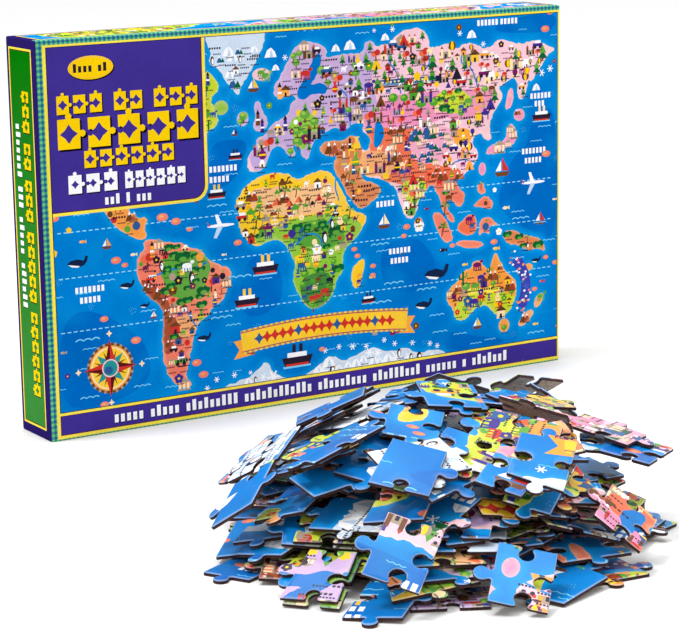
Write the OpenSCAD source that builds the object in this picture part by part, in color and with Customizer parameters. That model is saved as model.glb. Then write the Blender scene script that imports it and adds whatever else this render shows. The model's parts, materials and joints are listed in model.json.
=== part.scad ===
// Boxed jigsaw puzzle: a telescoping set-up box standing on its long edge,
// with the 200 loose pieces of the puzzle heaped on the table in front of it.
// Units are mm. X runs along the box, Y points from the lid panel to the back, Z is up.

/* [Box] */
// Outside length of the lid
box_length = 330; // [250:1:420]
// Outside height of the lid as it stands on its long edge
box_height = 209; // [150:1:280]
// Outside depth of the closed box
box_depth = 36; // [24:1:60]
// Thickness of the chipboard
board = 1.7; // [1:0.1:3]
// Thickness of the printed wrapping paper
wrap = 0.3; // [0.15:0.05:0.6]
// Width of the wrap turned in over each rim
turn_in = 14; // [6:1:24]
// Sliding clearance between the tray and the lid, at each end and above the panel
fit = 0.5; // [0.2:0.1:1.5]
// Gap below the tray where it all but rests on the lid's lower wall
seat = 0.2; // [0.1:0.1:1]
// Width of each leg of a corner stay
stay_leg = 16; // [8:1:30]
// Thickness of a corner stay, let into the board
stay = 0.3; // [0.1:0.05:0.6]

/* [Puzzle] */
// Finished length of the puzzle
puzzle_length = 482.6; // [300:0.1:700]
// Finished height of the puzzle
puzzle_height = 355.6; // [200:0.1:500]
// Pieces along the length
columns = 20; // [10:1:30]
// Pieces along the height
rows = 10; // [5:1:20]
// Thickness of a piece
thick = 2; // [1.2:0.1:3]
// How far a cut corner wanders along the length
wander_x = 2; // [0:0.1:4]
// How far a cut corner wanders along the height
wander_y = 3.4; // [0:0.1:5]
// Radius of a knob's head
head_radius = 3.5; // [2.5:0.1:4.5]
// Half the width of a knob's neck
neck = 2.3; // [1.5:0.1:3]
// Radius of the fillet at the foot of a knob
foot_radius = 1.05; // [0.5:0.05:2]

/* [Heap] */
// Middle of the heap along the box
heap_x = -90; // [-200:1:200]
// Middle of the heap in front of the box
heap_y = -264; // [-400:1:-200]
// Turn of the heap about the vertical
heap_turn = -31.9; // [-90:0.1:90]
// Half-width of the heap, to the middles of its pieces
heap_a = 95; // [60:1:140]
// Half-depth of the heap, to the middles of its pieces
heap_b = 116; // [60:1:140]
// How much narrower the heap has grown by its last piece
heap_taper = 0.5; // [0:0.05:0.9]
// Upright gap between a piece and what it rests on
heap_gap = 0.35; // [0.2:0.05:1]
// Steepest slope a piece settles at
steepest = 0.8; // [0.2:0.05:1.2]
// Places tried for each piece of the heap
places = 5; // [1:1:8]
// Pieces scattered over the finished heap at the end
scattered = 36; // [0:1:80]
// Places tried for each scattered piece
scattered_places = 20; // [1:1:30]
// How far out the scattered pieces reach, as a share of the heap
scattered_reach = 0.97; // [0.5:0.01:1.1]

/* [Hidden] */
count = columns * rows;
clear_wall = board + wrap;
inner_length = box_length - 2 * (board + 2 * wrap);
inner_height = box_height - 2 * (board + 2 * wrap);
tray_length = inner_length - 2 * fit;
tray_height = inner_height - 2 * fit;
tray_depth = box_depth - clear_wall - fit;
tray_z = board + 2 * wrap + seat;
reach = 54;
big = 2147483647;
// Groups that the pieces lying under others are kept in.
GROUPS = 24;

// ---------------------------------------------------------------- numbers that look random
// The same number from 0 to 1 every time for the same i and k.
function chance(i, k) =
    let (s = (i * 7919 + k * 104729 + 12345) % big)
    (((((s * 16807) % big) * 48271 + 11) % big) * 69621) % big / big;
function swing(i, k) = 2 * chance(i, k) - 1;

// ---------------------------------------------------------------- the cut of the puzzle
// Where cut lines cross. The outer ones stay on the border.
function corner(i, j) = [
    i * puzzle_length / columns + (i == 0 || i == columns ? 0 : wander_x * swing(i * 11 + j, 1)),
    j * puzzle_height / rows + (j == 0 || j == rows ? 0 : wander_y * swing(i * 11 + j, 2))
];

// A knob's sizes: head radius, foot radius, half the width at its foot, height of the head's middle.
function knob(s) =
    let (
        r = head_radius + 0.35 * swing(s, 4),
        f = foot_radius,
        w = neck + 0.2 * swing(s, 5) + f
    )
    [r, f, w, f + sqrt((r + f) * (r + f) - w * w)];
function knob_side(s) = chance(s, 6) > 0.5 ? 1 : -1;
function knob_at(s, l) = l * (0.5 + 0.07 * swing(s, 7));

// Points given along and beside the line from a to b, in the puzzle's own frame.
function beside(a, b, side, list) =
    let (e = (b - a) / norm(b - a))
    [for (p = list) a + e * p[0] + side * [-e[1], e[0]] * p[1]];

// One cut from a towards b, with its knob, without b.
function cut(a, b, s) =
    let (
        k = knob(s),
        r = k[0],
        f = k[1],
        w = k[2],
        h = k[3],
        c = knob_at(s, norm(b - a)),
        t = atan2(h - f, w),
        rise = [for (i = [0:2]) -90 + (90 + t) * i / 2]
    )
    beside(a, b, knob_side(s), concat(
        [[0, 0]],
        [for (q = rise) [c - w + f * cos(q), f + f * sin(q)]],
        [for (i = [1:9]) let (q = 180 + t - (180 + 2 * t) * i / 10) [c + r * cos(q), h + r * sin(q)]],
        [for (i = [2:-1:0]) [c + w - f * cos(rise[i]), f + f * sin(rise[i])]]
    ));

// Two points that cover the knob's head from outside.
function cap(a, b, s) =
    let (k = knob(s), c = knob_at(s, norm(b - a)))
    beside(a, b, knob_side(s), [[c - 0.55 * k[0], k[3] + k[0]], [c + 0.55 * k[0], k[3] + k[0]]]);

function reversed(list) = [for (i = [len(list) - 1:-1:0]) list[i]];

// A side of a piece, from a to b: as cut, and as the convex cover of it. A shared cut is laid out once, in
// its own direction, so a side that runs against it takes the points in reverse.
function side_outline(a, b, s, against, border) =
    border ? [a] :
    against ? concat([a], [for (i = [len(cut(b, a, s)) - 1:-1:1]) cut(b, a, s)[i]]) :
    cut(a, b, s);
function side_cover(a, b, s, against, border) =
    border ? [a] :
    against ? concat([a], knob_side(s) > 0 ? reversed(cap(b, a, s)) : []) :
    concat([a], knob_side(s) < 0 ? cap(a, b, s) : []);

function cell_corners(n) =
    let (i = n % columns, j = floor(n / columns))
    [corner(i, j), corner(i + 1, j), corner(i + 1, j + 1), corner(i, j + 1)];
function cell_middle(n) = let (q = cell_corners(n)) (q[0] + q[1] + q[2] + q[3]) / 4;

function around(n, covered) =
    let (
        i = n % columns,
        j = floor(n / columns),
        q = cell_corners(n),
        seeds = [1000 + i * 11 + j, 2000 + (i + 1) * 11 + j, 1000 + i * 11 + j + 1, 2000 + i * 11 + j],
        edge = [j == 0, i == columns - 1, j == rows - 1, i == 0],
        m = cell_middle(n)
    )
    [
        for (k = [0:3])
            let (a = q[k], b = q[(k + 1) % 4])
            each [
                for (p = covered
                    ? side_cover(a, b, seeds[k], k > 1, edge[k])
                    : side_outline(a, b, seeds[k], k > 1, edge[k]))
                    p - m
            ]
    ];

// ---------------------------------------------------------------- the heap
// Each piece is set down in turn. It comes to rest on the plane that clears everything below it and is
// lowest at the piece's middle, which is the plane through three supports around the middle.

function turned(list, q) = [for (p = list) [p[0] * cos(q) - p[1] * sin(q), p[0] * sin(q) + p[1] * cos(q)]];

// Plan of flat points once they tilt to slope g.
function tilted(list, g) =
    norm(g) < 1e-9 ? list :
    let (m = g / norm(g), s = cos(atan(norm(g))) - 1)
    [for (p = list) p + (p * m) * s * m];
function upright(g) = sqrt(1 + g * g);
function grown(list, g) = list * (1 + norm(g) / upright(g) * thick / 2 / 10.5);

// Half planes of a convex outline: each row times [x, y, 1] is 0 or less inside.
function walls(v) = [
    for (k = [0:len(v) - 1])
        let (e = v[(k + 1) % len(v)] - v[k], n = [e[1], -e[0]])
        [n[0], n[1], -n * v[k]]
];
function raised(v) = [for (p = v) [p[0], p[1], 1]];
function columns_of(v) = [[for (p = v) p[0]], [for (p = v) p[1]], [for (p = v) 1]];

// Corners of the region two convex outlines share.
function shared(v, h, u, g) =
    let (d = g * columns_of(v))
    max([for (row = d) min(row)]) > 0 ? [] :
    let (e = h * columns_of(u))
    max([for (row = e) min(row)]) > 0 ? [] :
    concat(
        [
            for (k = [0:len(v) - 1])
                let (
                    k2 = (k + 1) % len(v),
                    lo = max([0, for (row = d) if (row[k2] < row[k]) row[k] / (row[k] - row[k2])]),
                    hi = min([1, for (row = d) if (row[k2] > row[k]) row[k] / (row[k] - row[k2])]),
                    out = max([-1, for (row = d) if (row[k2] == row[k]) row[k]])
                )
                if (lo < hi && out <= 0)
                    each [v[k] + lo * (v[k2] - v[k]), v[k] + hi * (v[k2] - v[k])]
        ],
        [for (k = [0:len(u) - 1]) if (max([for (row = e) row[k]]) <= 0) u[k]]
    );

// A settled piece is [cell, middle, turn, slope, height, plan, half planes of the plan].
function moved(list, by) = [for (p = list) p + by];

// Supports for outline v set down at c, relative to c: the table under its corners, and the pieces below it.
function supports(c, v, heap) =
    let (at = moved(v, c), h = walls(at))
    concat(
        [for (p = v) [p[0], p[1], 0]],
        [
            for (q = heap)
                if (norm(q[1] - c) < reach)
                    let (lift = q[4] + thick / 2 * upright(q[3]) + heap_gap)
                    for (p = shared(at, h, q[5], q[6]))
                        [p[0] - c[0], p[1] - c[1], lift + q[3] * (p - q[1])]
        ]
    );

function solved(a, b, c, z) =
    let (u = cross(b, c), v = cross(c, a), w = cross(a, b))
    (z[0] * u + z[1] * v + z[2] * w) / (a * u);
function shares(a, b, c, p) = [cross(b, c) * p, cross(c, a) * p, cross(a, b) * p] / (a * cross(b, c));

// Slopes and height of the resting plane, found by swapping one of three supports at a time.
function resting(list) =
    rested(
        [for (p = list) [p[0], p[1], 1]],
        [for (p = list) p[2]],
        [for (q = [90, 210, 330]) [1000 * cos(q), 1000 * sin(q), 1]],
        [-1e4, -1e4, -1e4],
        0
    );
function rested(at, z, on, height, step) =
    let (
        plane = solved(on[0], on[1], on[2], height),
        over = z - at * plane,
        worst = max(over)
    )
    worst < 1e-7 || step > 60 ? plane :
    let (
        k = search(worst, over)[0],
        now = shares(on[0], on[1], on[2], [0, 0, 1]),
        new = shares(on[0], on[1], on[2], at[k]),
        ratio = [for (i = [0:2]) new[i] > 1e-12 ? now[i] / new[i] : 1e18],
        i = search(min(ratio), ratio)[0]
    )
    rested(
        at,
        z,
        [for (n = [0:2]) n == i ? at[k] : on[n]],
        [for (n = [0:2]) n == i ? z[k] : height[n]],
        step + 1
    );

function held(g) = norm(g) <= steepest ? g : g * steepest / norm(g);

// One place a piece may land: [score, middle, turn, flat cover, slope].
function landing(i, k, cell, heap) =
    let (
        late = i >= count - scattered,
        u = sqrt(chance(i, 20 + 4 * k)) * (late ? scattered_reach : 1 - heap_taper * i / count),
        w = 360 * ((i * 0.6180339887 + 0.31 * k + 0.15 * chance(i, 21 + 4 * k)) % 1),
        c = [heap_a * u * cos(w), heap_b * u * sin(w)],
        q = 360 * chance(i, 22 + 4 * k),
        v = turned(around(cell, true), q),
        plane = resting(supports(c, v, heap)),
        g = [plane[0], plane[1]],
        at = moved(v, c),
        h = walls(at),
        crowd = !late ? 0 : len([
            for (n = [count - scattered:1:len(heap) - 1])
                if (norm(heap[n][1] - c) < reach && len(shared(at, h, heap[n][5], heap[n][6])) > 0) n
        ])
    )
    [plane[2] + 8 * max(0, norm(g) - 0.35) + 60 * crowd, c, q, v, g];

// The best of a few places, then the tilt again for the plan that the tilt leaves, then the height.
function settled(i, heap) =
    let (
        cell = (i * 77 + 11) % count,
        last = (i >= count - scattered ? scattered_places : places) - 1,
        tries = [for (k = [0:last]) landing(i, k, cell, heap)],
        scores = [for (t = tries) t[0]],
        best = tries[search(min(scores), scores)[0]],
        c = best[1],
        g1 = held(best[4]),
        plane = resting(supports(c, tilted(grown(best[3], g1), g1), heap)),
        g = held([plane[0], plane[1]]),
        v = tilted(grown(best[3], g), g),
        low = max([for (p = supports(c, v, heap)) p[2] - g * [p[0], p[1]]]),
        at = moved(v, c)
    )
    [cell, c, best[2], g, low + thick / 2 * upright(g), at, walls(at)];

function next(i, heap) = i < count ? concat(heap, [settled(i, heap)]) : heap;
HEAP = [for (i = 0, heap = []; i <= count; heap = next(i, heap), i = i + 1) if (i == count) each heap];

// A piece is free when nothing settled later lies over any of it.
function free(n) =
    len([
        for (m = [n + 1:1:count - 1])
            if (norm(HEAP[m][1] - HEAP[n][1]) < reach
                && len(shared(HEAP[n][5], HEAP[n][6], HEAP[m][5], HEAP[m][6])) > 0) m
    ]) == 0;
FREE = [for (n = [0:count - 1]) if (free(n)) n];
UNDER = [for (n = [0:count - 1]) if (len(search(n, FREE)) == 0) n];

// ---------------------------------------------------------------- solids
// A piece as it lies in the heap, printed side up.
module piece(n) {
    q = HEAP[n];
    g = q[3];
    s = upright(g);
    m = norm(g) < 1e-9 ? [1, 0] : g / norm(g);
    t = norm(g) < 1e-9 ? 0 : atan(norm(g));
    translate([heap_x, heap_y, 0])
    rotate(heap_turn)
    translate([q[1][0], q[1][1], q[4]])
    rotate(t, [m[1], -m[0], 0])
    rotate(q[2])
    translate([0, 0, -thick / 2])
    linear_extrude(thick)
    polygon(around(q[0], false));
}

module free_piece(k) {
    color([0.12, 0.5, 0.82]) piece(FREE[k - 1]);
}

module under_pieces(k) {
    color([0.16, 0.42, 0.7])
    for (n = [floor((k - 1) * len(UNDER) / GROUPS):floor(k * len(UNDER) / GROUPS) - 1])
        piece(UNDER[n]);
}

// A block centred on X, between y0 and y1 either way round, from z0 to z1.
module block(length, y0, y1, z0, z1) {
    translate([-length / 2, min(y0, y1), z0])
    cube([length, abs(y1 - y0), z1 - z0]);
}

// A shell open at one end of Y. Its panel is at y0 and its rim at y1.
module shell(length, z0, height, y0, y1, wall) {
    d = sign(y1 - y0);
    difference() {
        block(length, y0, y1, z0, z0 + height);
        block(length - 2 * wall, y0 + d * wall, y1 + d, z0 + wall, z0 + height - wall);
    }
}

// The corner stays of a shell: paper strips let into its four outer corners, over the depth of its walls.
module stays(length, z0, height, y0, y1, deep) {
    for (sx = [-1, 1])
        for (top = [0, 1])
            translate([sx * length / 2, 0, top ? z0 + height : z0])
            mirror([sx > 0 ? 1 : 0, 0, 0])
            mirror([0, 0, top ? 1 : 0])
            difference() {
                translate([0, y0, 0])
                cube([stay_leg, y1 - y0, stay_leg]);
                translate([deep, y0 - 1, deep])
                cube([stay_leg, y1 - y0 + 2, stay_leg]);
            }
}

// Chipboard shell with its corners let in for the stays.
module board_shell(length, z0, height, y0, y1) {
    difference() {
        shell(length, z0, height, y0, y1, board);
        stays(length, z0, height, min(y0, y1), max(y0, y1), stay);
    }
}

// Printed paper over the outside of a board shell, round its rim and turned in.
module wrap_shell(length, z0, height, y0, y1) {
    d = sign(y1 - y0);
    lined = clear_wall + wrap;
    difference() {
        block(length, y0, y1, z0, z0 + height);
        shell(length - 2 * wrap, z0 + wrap, height - 2 * wrap, y0 + d * wrap, y1 - d * wrap, board);
        block(
            length - 2 * clear_wall,
            y0 + d * wrap,
            y1 - d * turn_in,
            z0 + clear_wall,
            z0 + height - clear_wall
        );
        block(length - 2 * lined, y1 - d * (turn_in + 1), y1 + d, z0 + lined, z0 + height - lined);
    }
}

lid_front = -box_depth / 2;
lid_rim = box_depth / 2;
tray_back = box_depth / 2;
tray_rim = box_depth / 2 - tray_depth;

module lid_board() {
    color([0.55, 0.52, 0.48])
    board_shell(box_length - 2 * wrap, wrap, box_height - 2 * wrap, lid_front + wrap, lid_rim - wrap);
}

module lid_corner_stays() {
    color([0.75, 0.66, 0.5])
    stays(box_length - 2 * wrap, wrap, box_height - 2 * wrap, lid_front + wrap, lid_rim - wrap, stay);
}

module lid_wrap() {
    color([0.1, 0.45, 0.75])
    wrap_shell(box_length, 0, box_height, lid_front, lid_rim);
}

module tray_board() {
    color([0.58, 0.55, 0.5])
    board_shell(
        tray_length - 2 * wrap,
        tray_z + wrap,
        tray_height - 2 * wrap,
        tray_back - wrap,
        tray_rim + wrap
    );
}

module tray_corner_stays() {
    color([0.75, 0.66, 0.5])
    stays(
        tray_length - 2 * wrap,
        tray_z + wrap,
        tray_height - 2 * wrap,
        tray_rim + wrap,
        tray_back - wrap,
        stay
    );
}

module tray_wrap() {
    color([0.3, 0.25, 0.55])
    wrap_shell(tray_length, tray_z, tray_height, tray_back, tray_rim);
}

module free_piece_01() {
    free_piece(1);
}

module free_piece_02() {
    free_piece(2);
}

module free_piece_03() {
    free_piece(3);
}

module free_piece_04() {
    free_piece(4);
}

module free_piece_05() {
    free_piece(5);
}

module free_piece_06() {
    free_piece(6);
}

module free_piece_07() {
    free_piece(7);
}

module free_piece_08() {
    free_piece(8);
}

module free_piece_09() {
    free_piece(9);
}

module free_piece_10() {
    free_piece(10);
}

module free_piece_11() {
    free_piece(11);
}

module free_piece_12() {
    free_piece(12);
}

module free_piece_13() {
    free_piece(13);
}

module free_piece_14() {
    free_piece(14);
}

module free_piece_15() {
    free_piece(15);
}

module free_piece_16() {
    free_piece(16);
}

module free_piece_17() {
    free_piece(17);
}

module free_piece_18() {
    free_piece(18);
}

module free_piece_19() {
    free_piece(19);
}

module under_pieces_01() {
    under_pieces(1);
}

module under_pieces_02() {
    under_pieces(2);
}

module under_pieces_03() {
    under_pieces(3);
}

module under_pieces_04() {
    under_pieces(4);
}

module under_pieces_05() {
    under_pieces(5);
}

module under_pieces_06() {
    under_pieces(6);
}

module under_pieces_07() {
    under_pieces(7);
}

module under_pieces_08() {
    under_pieces(8);
}

module under_pieces_09() {
    under_pieces(9);
}

module under_pieces_10() {
    under_pieces(10);
}

module under_pieces_11() {
    under_pieces(11);
}

module under_pieces_12() {
    under_pieces(12);
}

module under_pieces_13() {
    under_pieces(13);
}

module under_pieces_14() {
    under_pieces(14);
}

module under_pieces_15() {
    under_pieces(15);
}

module under_pieces_16() {
    under_pieces(16);
}

module under_pieces_17() {
    under_pieces(17);
}

module under_pieces_18() {
    under_pieces(18);
}

module under_pieces_19() {
    under_pieces(19);
}

module under_pieces_20() {
    under_pieces(20);
}

module under_pieces_21() {
    under_pieces(21);
}

module under_pieces_22() {
    under_pieces(22);
}

module under_pieces_23() {
    under_pieces(23);
}

module under_pieces_24() {
    under_pieces(24);
}

lid_board();
lid_corner_stays();
lid_wrap();
tray_board();
tray_corner_stays();
tray_wrap();
free_piece_01();
free_piece_02();
free_piece_03();
free_piece_04();
free_piece_05();
free_piece_06();
free_piece_07();
free_piece_08();
free_piece_09();
free_piece_10();
free_piece_11();
free_piece_12();
free_piece_13();
free_piece_14();
free_piece_15();
free_piece_16();
free_piece_17();
free_piece_18();
free_piece_19();
under_pieces_01();
under_pieces_02();
under_pieces_03();
under_pieces_04();
under_pieces_05();
under_pieces_06();
under_pieces_07();
under_pieces_08();
under_pieces_09();
under_pieces_10();
under_pieces_11();
under_pieces_12();
under_pieces_13();
under_pieces_14();
under_pieces_15();
under_pieces_16();
under_pieces_17();
under_pieces_18();
under_pieces_19();
under_pieces_20();
under_pieces_21();
under_pieces_22();
under_pieces_23();
under_pieces_24();
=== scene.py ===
"""A boxed jigsaw puzzle: the lid stands on its long wall, and the loose pieces lie in a heap in front of it.

The lid's cover and the puzzle's picture show the same plain map. It is drawn here in flat outlines, in map
units, which are millimetres on the lid's front, x to the right and y up from the lower left corner. The
outlines are cut into triangles by colour, and are then folded round the box or laid on the pieces.
"""
import json
import math
import random
from collections import namedtuple

import bpy
import numpy as np
from mathutils import Matrix, Vector
from mathutils.geometry import delaunay_2d_cdt
from mathutils.kdtree import KDTree


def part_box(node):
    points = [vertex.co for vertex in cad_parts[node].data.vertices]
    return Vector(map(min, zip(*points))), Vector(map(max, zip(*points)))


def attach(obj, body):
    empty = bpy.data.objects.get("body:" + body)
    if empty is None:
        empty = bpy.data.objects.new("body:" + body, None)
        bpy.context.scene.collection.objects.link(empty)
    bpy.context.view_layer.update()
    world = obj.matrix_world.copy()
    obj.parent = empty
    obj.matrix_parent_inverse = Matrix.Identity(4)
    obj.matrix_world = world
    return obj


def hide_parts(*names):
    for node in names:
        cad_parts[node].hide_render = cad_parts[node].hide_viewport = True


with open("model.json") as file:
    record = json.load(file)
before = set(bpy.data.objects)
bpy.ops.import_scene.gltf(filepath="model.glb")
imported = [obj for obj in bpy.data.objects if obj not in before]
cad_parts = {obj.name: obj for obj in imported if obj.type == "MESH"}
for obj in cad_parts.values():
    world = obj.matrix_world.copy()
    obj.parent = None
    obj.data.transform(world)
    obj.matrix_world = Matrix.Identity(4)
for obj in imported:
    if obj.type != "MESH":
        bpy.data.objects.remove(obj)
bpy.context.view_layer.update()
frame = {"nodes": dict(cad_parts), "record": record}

MM = 0.001
BOARD = 1.7  # greyboard of the lid and the tray
PAPER = 0.3  # wrap sheets and corner stays
TURN_IN = 14.0  # how far a wrap sheet goes round the rim and back along the wall's inside
PUZZLE_LENGTH, PUZZLE_HEIGHT = 482.6, 355.6
COLUMNS, ROWS = 20, 10
THICK = 2.0  # a puzzle piece
SEED = 11  # of everything that is scattered over the map

# ---------------------------------------------------------------- colours

PALETTE = {  # red, green and blue out of 255
    "sea": (0, 130, 210), "deep": (0, 104, 190), "shallow": (12, 160, 228), "foam": (120, 208, 245),
    "dash": (150, 222, 250), "snow": (250, 250, 252), "frost": (190, 212, 238), "ice": (205, 222, 242),
    "violet": (64, 48, 142), "violet_dark": (42, 28, 98), "plum": (120, 30, 95), "gold": (250, 206, 10),
    "lemon": (250, 226, 70), "cream": (255, 226, 176), "maroon": (92, 24, 30), "black": (16, 14, 20),
    "night": (40, 32, 50), "navy": (22, 38, 70), "bark": (112, 66, 36), "fir": (14, 98, 52),
    "leaf": (72, 158, 44), "moss": (138, 196, 52), "lime": (196, 214, 40), "jungle": (20, 96, 44),
    "slate": (44, 92, 150), "stone": (170, 150, 130), "rust": (160, 58, 34), "brick": (205, 52, 44),
    "clay": (216, 118, 66), "amber": (248, 160, 44), "sun": (250, 200, 26), "sand": (246, 190, 134),
    "coral": (242, 122, 98), "ember": (238, 104, 68), "pink": (242, 168, 196), "rose": (236, 142, 184),
    "blush": (246, 196, 214), "lilac": (196, 166, 218), "tan": (240, 164, 108), "reef": (62, 66, 172),
    "orange": (248, 150, 56), "teal": (40, 146, 146), "end_top": (0, 116, 0), "end_low": (62, 136, 60),
}
ACCENTS = "brick snow bark night amber violet sun leaf slate plum cream stone".split()


def linear(r, g, b):
    """An sRGB colour out of 255 as the linear colour that Blender takes."""
    part = [c / 255 / 12.92 if c <= 10 else ((c / 255 + 0.055) / 1.055) ** 2.4 for c in (r, g, b)]
    return (*part, 1.0)


INK = {name: np.array(linear(*rgb)) for name, rgb in PALETTE.items()}


def blend(start, end, share):
    """The ink a share of the way from one ink to another."""
    return start + (end - start) * share


# ---------------------------------------------------------------- outlines


def disc(x, y, rx, ry=None, count=12):
    """A circle or an upright ellipse."""
    ry = rx if ry is None else ry
    angles = (2 * math.pi * k / count for k in range(count))
    return [(x + rx * math.cos(a), y + ry * math.sin(a)) for a in angles]


def slab(x0, y0, x1, y1):
    """An upright rectangle."""
    return [(x0, y0), (x1, y0), (x1, y1), (x0, y1)]


def ribbon(points, width):
    """A strip of one width along a line."""
    line = np.array(points, float)
    along = np.gradient(line, axis=0)
    side = np.column_stack([-along[:, 1], along[:, 0]])
    side *= width / 2 / np.linalg.norm(side, axis=1)[:, None]
    return [*(line + side), *(line - side)[::-1]]


def star(x, y, long, short, points, turn=0.0):
    """A star whose rays end at long and meet at short."""
    step = math.pi / points
    rays = [(turn + k * step, reach) for k, reach in enumerate([long, short] * points)]
    return [(x + reach * math.sin(a), y + reach * math.cos(a)) for a, reach in rays]


def smooth(points, rounds=2):
    """A closed outline with its corners cut again and again, so that it runs in curves."""
    line = np.array(points, float)
    for _ in range(rounds):
        after = np.roll(line, -1, axis=0)
        line = np.stack([0.75 * line + 0.25 * after, 0.25 * line + 0.75 * after], 1).reshape(-1, 2)
    return line


def smooth_line(points, rounds=2):
    """An open line with its corners cut, between the same two ends."""
    line = np.array(points, float)
    for _ in range(rounds):
        before, after = line[:-1], line[1:]
        inner = np.stack([0.75 * before + 0.25 * after, 0.25 * before + 0.75 * after], 1).reshape(-1, 2)
        line = np.vstack([line[:1], inner[1:-1], line[-1:]])
    return line


def rough(outline, swing=0.16, shortest=1.6):
    """A closed outline with a new point in each long side, pushed in or out by a share of it."""
    draw = random.Random(len(outline))
    line = []
    for start, end in zip(outline, np.roll(outline, -1, 0)):
        along = end - start
        line.append(start)
        if math.hypot(*along) > shortest:
            line.append(start + along / 2 + draw.uniform(-swing, swing) * np.array([-along[1], along[0]]))
    return np.array(line)


def grown(outline, distance):
    """A closed anticlockwise outline moved outwards by a distance, or inwards by a negative one."""
    line = np.array(outline, float)
    sides = np.roll(line, -1, 0) - line, line - np.roll(line, 1, 0)
    normals = [np.column_stack([v[:, 1], -v[:, 0]]) / np.linalg.norm(v, axis=1)[:, None] for v in sides]
    middle = normals[0] + normals[1]
    reach = np.maximum((middle * normals[0]).sum(1), 0.5)  # a sharp corner keeps a blunt tip
    return line + distance * middle / reach[:, None]


def area(outline):
    """The signed area of a closed outline, positive when it runs anticlockwise."""
    x, y = np.array(outline, float).T
    return 0.5 * float(x @ np.roll(y, -1) - y @ np.roll(x, -1))


def anticlockwise(outline):
    """A closed outline as an array, turned round if it runs clockwise."""
    outline = np.array(outline, float)
    return outline if area(outline) > 0 else outline[::-1]


def holds(outline, x, y):
    """Whether a point is inside a closed outline."""
    a, b = outline, np.roll(outline, -1, axis=0)
    crosses = (a[:, 1] > y) != (b[:, 1] > y)
    rise = np.where(crosses, b[:, 1] - a[:, 1], 1.0)
    return bool((crosses & (x < a[:, 0] + (y - a[:, 1]) * (b[:, 0] - a[:, 0]) / rise)).sum() % 2)


def away(outline, points):
    """The distance of each point from a closed outline."""
    a = np.array(outline, float)[None]
    edge = np.roll(a, -1, axis=1) - a
    gap = np.array(points, float)[:, None] - a
    share = np.clip((gap * edge).sum(2) / (edge * edge).sum(2), 0, 1)
    return np.linalg.norm(gap - share[..., None] * edge, axis=2).min(1)


# ---------------------------------------------------------------- small drawings, one unit across

WAVE = [(-0.5 + k / 12, 0.07 * abs(math.sin(k * math.pi / 4)) - 0.03) for k in range(13)]
SPRAY = [(0.34 * math.cos(2.4 * k) * (k / 9) ** 0.5, 0.34 * math.sin(2.4 * k) * (k / 9) ** 0.5)
         for k in range(1, 10)]
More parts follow.
